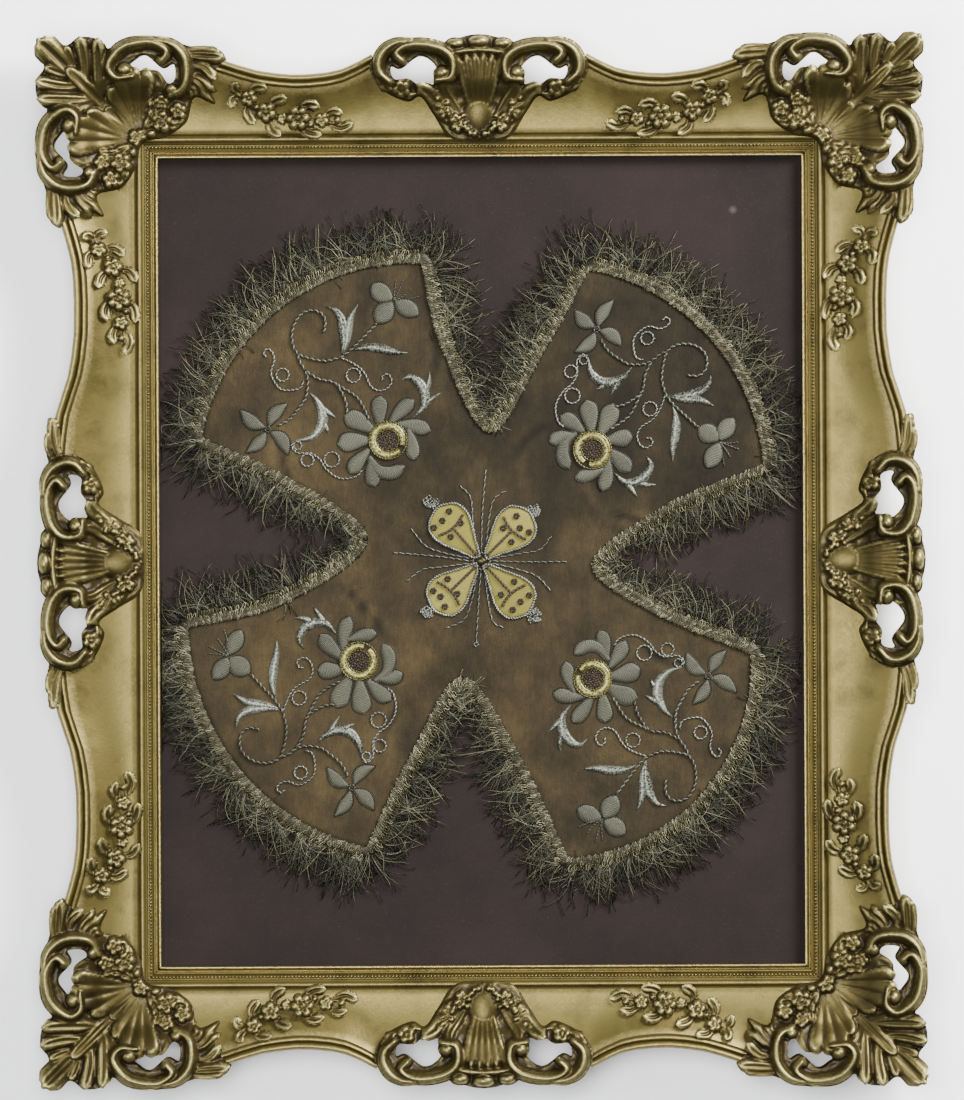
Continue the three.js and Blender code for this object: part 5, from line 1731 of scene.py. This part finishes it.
# %% Embroider the lobes
def embroider(name, random):
    """Parts of one lobe's spray, by the thread they are worked in."""
    to_lobe = lobe_map(name)
    petals, purl, stems, bright, gold, brown, rings = [], [], [], [], [], [], []
    flowers = ((BIG_PETALS, PETAL, 0.85), (TREFOIL_PETALS, ROUND, 0.9), (STAR_PETALS, LEAF, 0.8))
    for group, profile, height in flowers:
        for k, (spine, width) in enumerate(group):
            half = width / 2 * random.uniform(0.95, 1.04)
            tint = random.uniform(0.25, 0.5)
            shape = pad(to_lobe(spine), half, height, profile, tint=tint, lift=0.04 * (k % 3))
            petals.append(shape)
            stems.append(edge_thread(shape["edge"], 0.36, random.uniform(-0.4, 0.0)))
    for spine, width in PURL_LEAVES:
        tint = random.uniform(0.4, 0.65)
        purl.append(pad(to_lobe(spine), width / 2, 1.3, LEAF, tint=tint, lift=0.05))
    for spine in PURL_BARBS:
        purl.append(pad(to_lobe(spine), 2.0, 1.1, BARB, across=7, tint=random.uniform(0.4, 0.65)))
    for line in STEMS:
        stems += cord(to_lobe(line), 0.5, 3.6, random.uniform(0.25, 0.45), lift=0.05)
    for line in TENDRILS:
        bright += cord(to_lobe(line), 0.38, 2.6, random.uniform(0.35, 0.6))
    for row in CORD_RINGS:
        centre = to_lobe([row["centre"]])[0]
        bright += cord(
            circle(centre, row["radius"]), 0.36, 2.4, random.uniform(0.35, 0.6), closed=True, lift=0.1,
        )
    trefoil = to_lobe([TREFOIL_CENTRE])[0]
    for tip in to_lobe(STAMENS):
        bend = (trefoil + tip) / 2 + random.normal(0, 0.6, 2)
        stems += cord([trefoil, bend, tip], 0.26, 2.0, 0.2)
    star = to_lobe([STAR_CENTRE])[0]
    brown.append(pad([star - [1.2, 0], star, star + [1.2, 0]], 1.3, 1.5, ROUND, tint=0.0, lift=0.5))
    stems += cord(circle(star, 1.7, 8), 0.28, 2.0, 0.2, closed=True, lift=0.7)
    # The gilt ring is open at one side, and a cord edges it inside and out.
    middle = to_lobe([BIG_FLOWER["centre"]])[0]
    opening = math.atan2(*(trefoil - middle)[::-1]) + math.radians(253)
    ring = circle(middle, BIG_FLOWER["ring"], 22, opening, math.radians(338))
    rings.append(
        pad(ring, BIG_FLOWER["ring_half"], 1.2, (0.7, 1, 1, 1, 1, 1, 1, 0.7), tint=0.45, lift=0.55)
    )
    for way, tint in ((1, 0.1), (-1, 0.0)):
        edge = circle(middle, BIG_FLOWER["ring"] + way * BIG_FLOWER["ring_half"], 26)
        gold += cord(edge, 0.34, 1.9, tint, closed=True, lift=0.8)
    # The eye is filled with tufts on a sunflower spiral, and a few gold knots lie on them.
    count = BIG_FLOWER["tufts"]
    spin = np.arange(count) * GOLDEN_ANGLE
    spread = BIG_FLOWER["eye"] * np.sqrt((np.arange(count) + 0.5) / count)
    tufts = middle + np.stack([np.cos(spin), np.sin(spin)], axis=1) * spread[:, None]
    high = velvet_top(tufts[:, 0], tufts[:, 1]) + 0.1
    sizes = np.stack([random.uniform(0.85, 1.15, count)] * 2 + [random.uniform(0.9, 1.5, count)], axis=1)
    grown = scatter(bead_shape, np.column_stack([tufts, high]), sizes)
    brown.append({**grown, "marks": {"tint": np.repeat(random.uniform(0, 0.5, count), grown["each"])}})
    knots = BIG_FLOWER["knots"]
    chosen = random.permutation(count - 6)[:knots]
    dots = tufts[chosen] + random.normal(0, 0.3, (knots, 2))
    high = velvet_top(dots[:, 0], dots[:, 1]) + 1.15
    grown = scatter(bead_shape, np.column_stack([dots, high]), np.full((knots, 3), 0.45))
    gold.append({**grown, "marks": {"tint": 0.3}})
    return {
        "petals": petals, "purl": purl, "stems": stems, "bright": bright, "gold": gold, "brown": brown,
        "ring": rings,
    }


THREADS = {
    "petals": petal_silk, "purl": silver_purl, "stems": stem_cord, "bright": bright_cord, "gold": gold_purl,
    "brown": brown_chenille, "ring": gold_chips,
}


def worked(name, parts_by_thread):
    """One mesh for each thread of a motif. Every part keeps both marks."""
    for thread, parts in parts_by_thread.items():
        for part in parts:
            marks = part.setdefault("marks", {})
            marks.setdefault("stitch", 0.0)
        points, faces, marks = join_parts(parts)
        make_mesh(f"{thread}_{name}", points, faces, THREADS[thread], marks)


random = np.random.default_rng(5)
for name in LOBES:
    worked(name, embroider(name, random))

# %% [markdown]
# ### The middle
# Four wings of yellow satin stitch stand round a small brass disc, each edged with silver cord,
# ribbed with a dark T and set with sequins. Three rays run out between each pair of wings.

# %% Middle motif
THREADS["yellow"] = yellow_silk
WING_PROFILE = (0.1, 0.27, 0.43, 0.6, 0.78, 0.93, 1.0, 0.97, 0.8, 0.12)
WINGS = [
    {
        "tip": (-27.5, 32.4), "curl": (-30.6, 35.4),
        "sequins": [(-23.8, 24.9), (-29.0, 20.6), (-12.6, 23.4), (-18.8, 14.9), (-19.6, 30.6)],
    },
    {
        "tip": (30.0, 29.6), "curl": (33.2, 30.6),
        "sequins": [(13.5, 20.1), (23.8, 20.1), (29.4, 17.5), (18.5, 11.6), (21.7, 27.5)],
    },
    {
        "tip": (-30.0, -29.0), "curl": (-33.2, -31.4),
        "sequins": [(-20.7, -10.9), (-29.6, -18.2), (-25.1, -21.7), (-22.5, -27.9), (-14.9, -20.0)],
    },
    {
        "tip": (29.0, -31.6), "curl": (32.4, -33.4),
        "sequins": [(20.1, -12.8), (11.9, -20.8), (23.9, -25.1), (29.3, -21.2), (19.1, -30.0)],
    },
]
RAYS = [
    [(-2.5, 6), (-5, 24), (-6.5, 39), (-13, 46.5)], [(0, 6), (0.8, 30), (3, 56)],
    [(2.5, 6), (5, 27), (8, 38), (15, 43)],
    [(-6, 1.6), (-22, 5), (-34, 9.5), (-43, 20)], [(-6, 0), (-28, 3.2), (-54, 5.5)],
    [(-6, -1.2), (-26, -3.6), (-36, -5), (-46, -12)],
    [(6, 1.6), (24, 4.6), (36, 7), (43, 15)], [(6, 0.2), (28, -0.6), (52.5, -0.5)],
    [(6, -1.2), (22, -5), (34, -9.5), (42.5, -18.5)],
    [(-2.4, -6), (-6, -24), (-11, -36), (-22, -41)], [(-0.4, -6), (-2, -28), (-3.5, -51)],
    [(1.8, -6), (4, -24), (7, -37), (13.5, -41)],
]
# One ray of those ends in a small loop.
LOOPED_RAY = 10
CURL_LOOPS = 12


def middle_motif(random):
    yellow, bright, gold, brown, stems = [], [], [], [], []
    for wing in WINGS:
        tip = np.array(wing["tip"])
        out = tip / np.linalg.norm(tip)
        side = np.array([-out[1], out[0]])
        length = np.linalg.norm(tip)
        tint = random.uniform(0.35, 0.5)
        shape = pad([out * 3.2, tip * 0.5, tip], 12.8, 0.8, WING_PROFILE, across=15, tint=tint)
        yellow.append(shape)
        bright += cord(shape["edge"][::4], 0.6, 1.7, 0.5, closed=True, lift=0.1)
        # The rib: a stem along the axis and a bowed bar across its end.
        stem = [out * 5, out * length * 0.35, out * length * 0.62]
        bar = [out * length * (0.63 + 0.05 * k * k) + side * 9.8 * k for k in (-1, -0.5, 0, 0.5, 1)]
        for line in (stem, bar):
            brown += cord(line, 0.58, 2.4, 0.45, lift=0.9)
        for at in wing["sequins"]:
            at = np.array(at, dtype=float)
            brown += cord(circle(at, 1.35, 8), 0.55, 2.6, 0.0, closed=True, lift=0.9)
            disc = [at - [0.6, 0], at, at + [0.6, 0]]
            bright.append(pad(disc, 0.7, 0.9, ROUND, across=7, tint=-0.1, lift=0.9))
        # Silver loops bunched at the outer corner.
        curl = np.array(wing["curl"], dtype=float)
        for k in range(CURL_LOOPS):
            angle = 2 * math.pi * k / CURL_LOOPS + random.normal(0, 0.15)
            reach = random.uniform(1.0, 4.0)
            centre = curl + reach * np.array([math.cos(angle), math.sin(angle)])
            loop = circle(centre, random.uniform(1.0, 1.5), 7)
            bright += cord(loop, 0.34, 2.2, random.uniform(0.1, 0.5), closed=True, lift=0.3, spacing=0.9)
    for k, ray in enumerate(RAYS):
        bright += cord(ray, 0.27, 4.4, 0.3, lift=0.1)
        if k == LOOPED_RAY:
            bright += cord(circle(ray[-1], 1.3, 8), 0.28, 2.0, 0.4, closed=True)
    stems += cord(circle((0, 0), 5.2, 14), 0.5, 2.0, 0.3, closed=True, lift=0.4)
    gold.append(pad([(-3.0, 0), (0, 0), (3.0, 0)], 3.0, 1.6, ROUND, tint=0.0, lift=0.6))
    return {"yellow": yellow, "bright": bright, "gold": gold, "brown": brown, "stems": stems}


worked("middle", middle_motif(np.random.default_rng(9)))

# %% [markdown]
# ## Light and floor
# A plain pale floor under three soft lights: a key from the upper right, a weak fill from the left
# and one overhead that shows in the gilding. The sky is pale. The left rail's cove faces the key and
# is the brightest, as in the photograph.

# %% Floor
def floor_material():
    material, tree, place = new_material("matt_pale_paper")
    tooth = noise(tree, place, 300.0, 4.0)
    colour = ramp(tree, tooth, [(0.3, paint("#f4f4f5")), (0.7, paint("#f7f7f8"))])
    finish_material(tree, {"Base Color": colour}, bumped(tree, tooth, 0.05, 0.0002), Roughness=0.9)
    return material


floor_mesh = bpy.data.meshes.new("floor")
floor_mesh.from_pydata([(-4, -4, 0), (4, -4, 0), (4, 4, 0), (-4, 4, 0)], [], [(0, 1, 2, 3)])
floor_mesh.materials.append(floor_material())
floor = bpy.data.objects.new("floor", floor_mesh)
bpy.context.scene.collection.objects.link(floor)
floor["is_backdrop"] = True

# %% Lights
LIGHTS = {
    "key": {"place": (1.15, 1.05, 1.1), "size": 0.9, "watts": 165.0, "colour": (1.0, 0.985, 0.96)},
    "fill": {"place": (-1.8, 0.2, 1.3), "size": 1.6, "watts": 26.0, "colour": (0.96, 0.98, 1.0)},
    "ceiling": {"place": (-0.25, 0.0, 2.5), "size": 1.0, "watts": 112.0, "colour": (0.98, 0.99, 1.0)},
}
for name, light in LIGHTS.items():
    data = bpy.data.lights.new(name, "AREA")
    data.shape = "SQUARE"
    data.size = light["size"]
    data.energy = light["watts"]
    data.color = light["colour"]
    lamp = bpy.data.objects.new(name, data)
    lamp.location = light["place"]
    lamp.rotation_euler = (-Vector(light["place"])).to_track_quat("-Z", "Y").to_euler()
    bpy.context.scene.collection.objects.link(lamp)
world = bpy.data.worlds.new("pale_sky")
world.use_nodes = True
sky = world.node_tree.nodes["Background"].inputs
sky["Color"].default_value = (0.93, 0.95, 1.0, 1)
sky["Strength"].default_value = 0.4
bpy.context.scene.world = world

# %% [markdown]
# ## The veil's flat size, and the size of everything
# The veil is laid flat on its mount, and the mount cloth is drawn over its board. The veil's flat
# width and height are taken from its outline, and the box round everything shown is printed.

# %% Sheets
width, height = np.ptp(velvet_edge, axis=0) / 1000

# %% Size
sizes = {"cad_box": cad_box, "shown_box": [[float(v) for v in corner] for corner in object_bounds()]}
print("shown box, metres:", sizes["shown_box"])
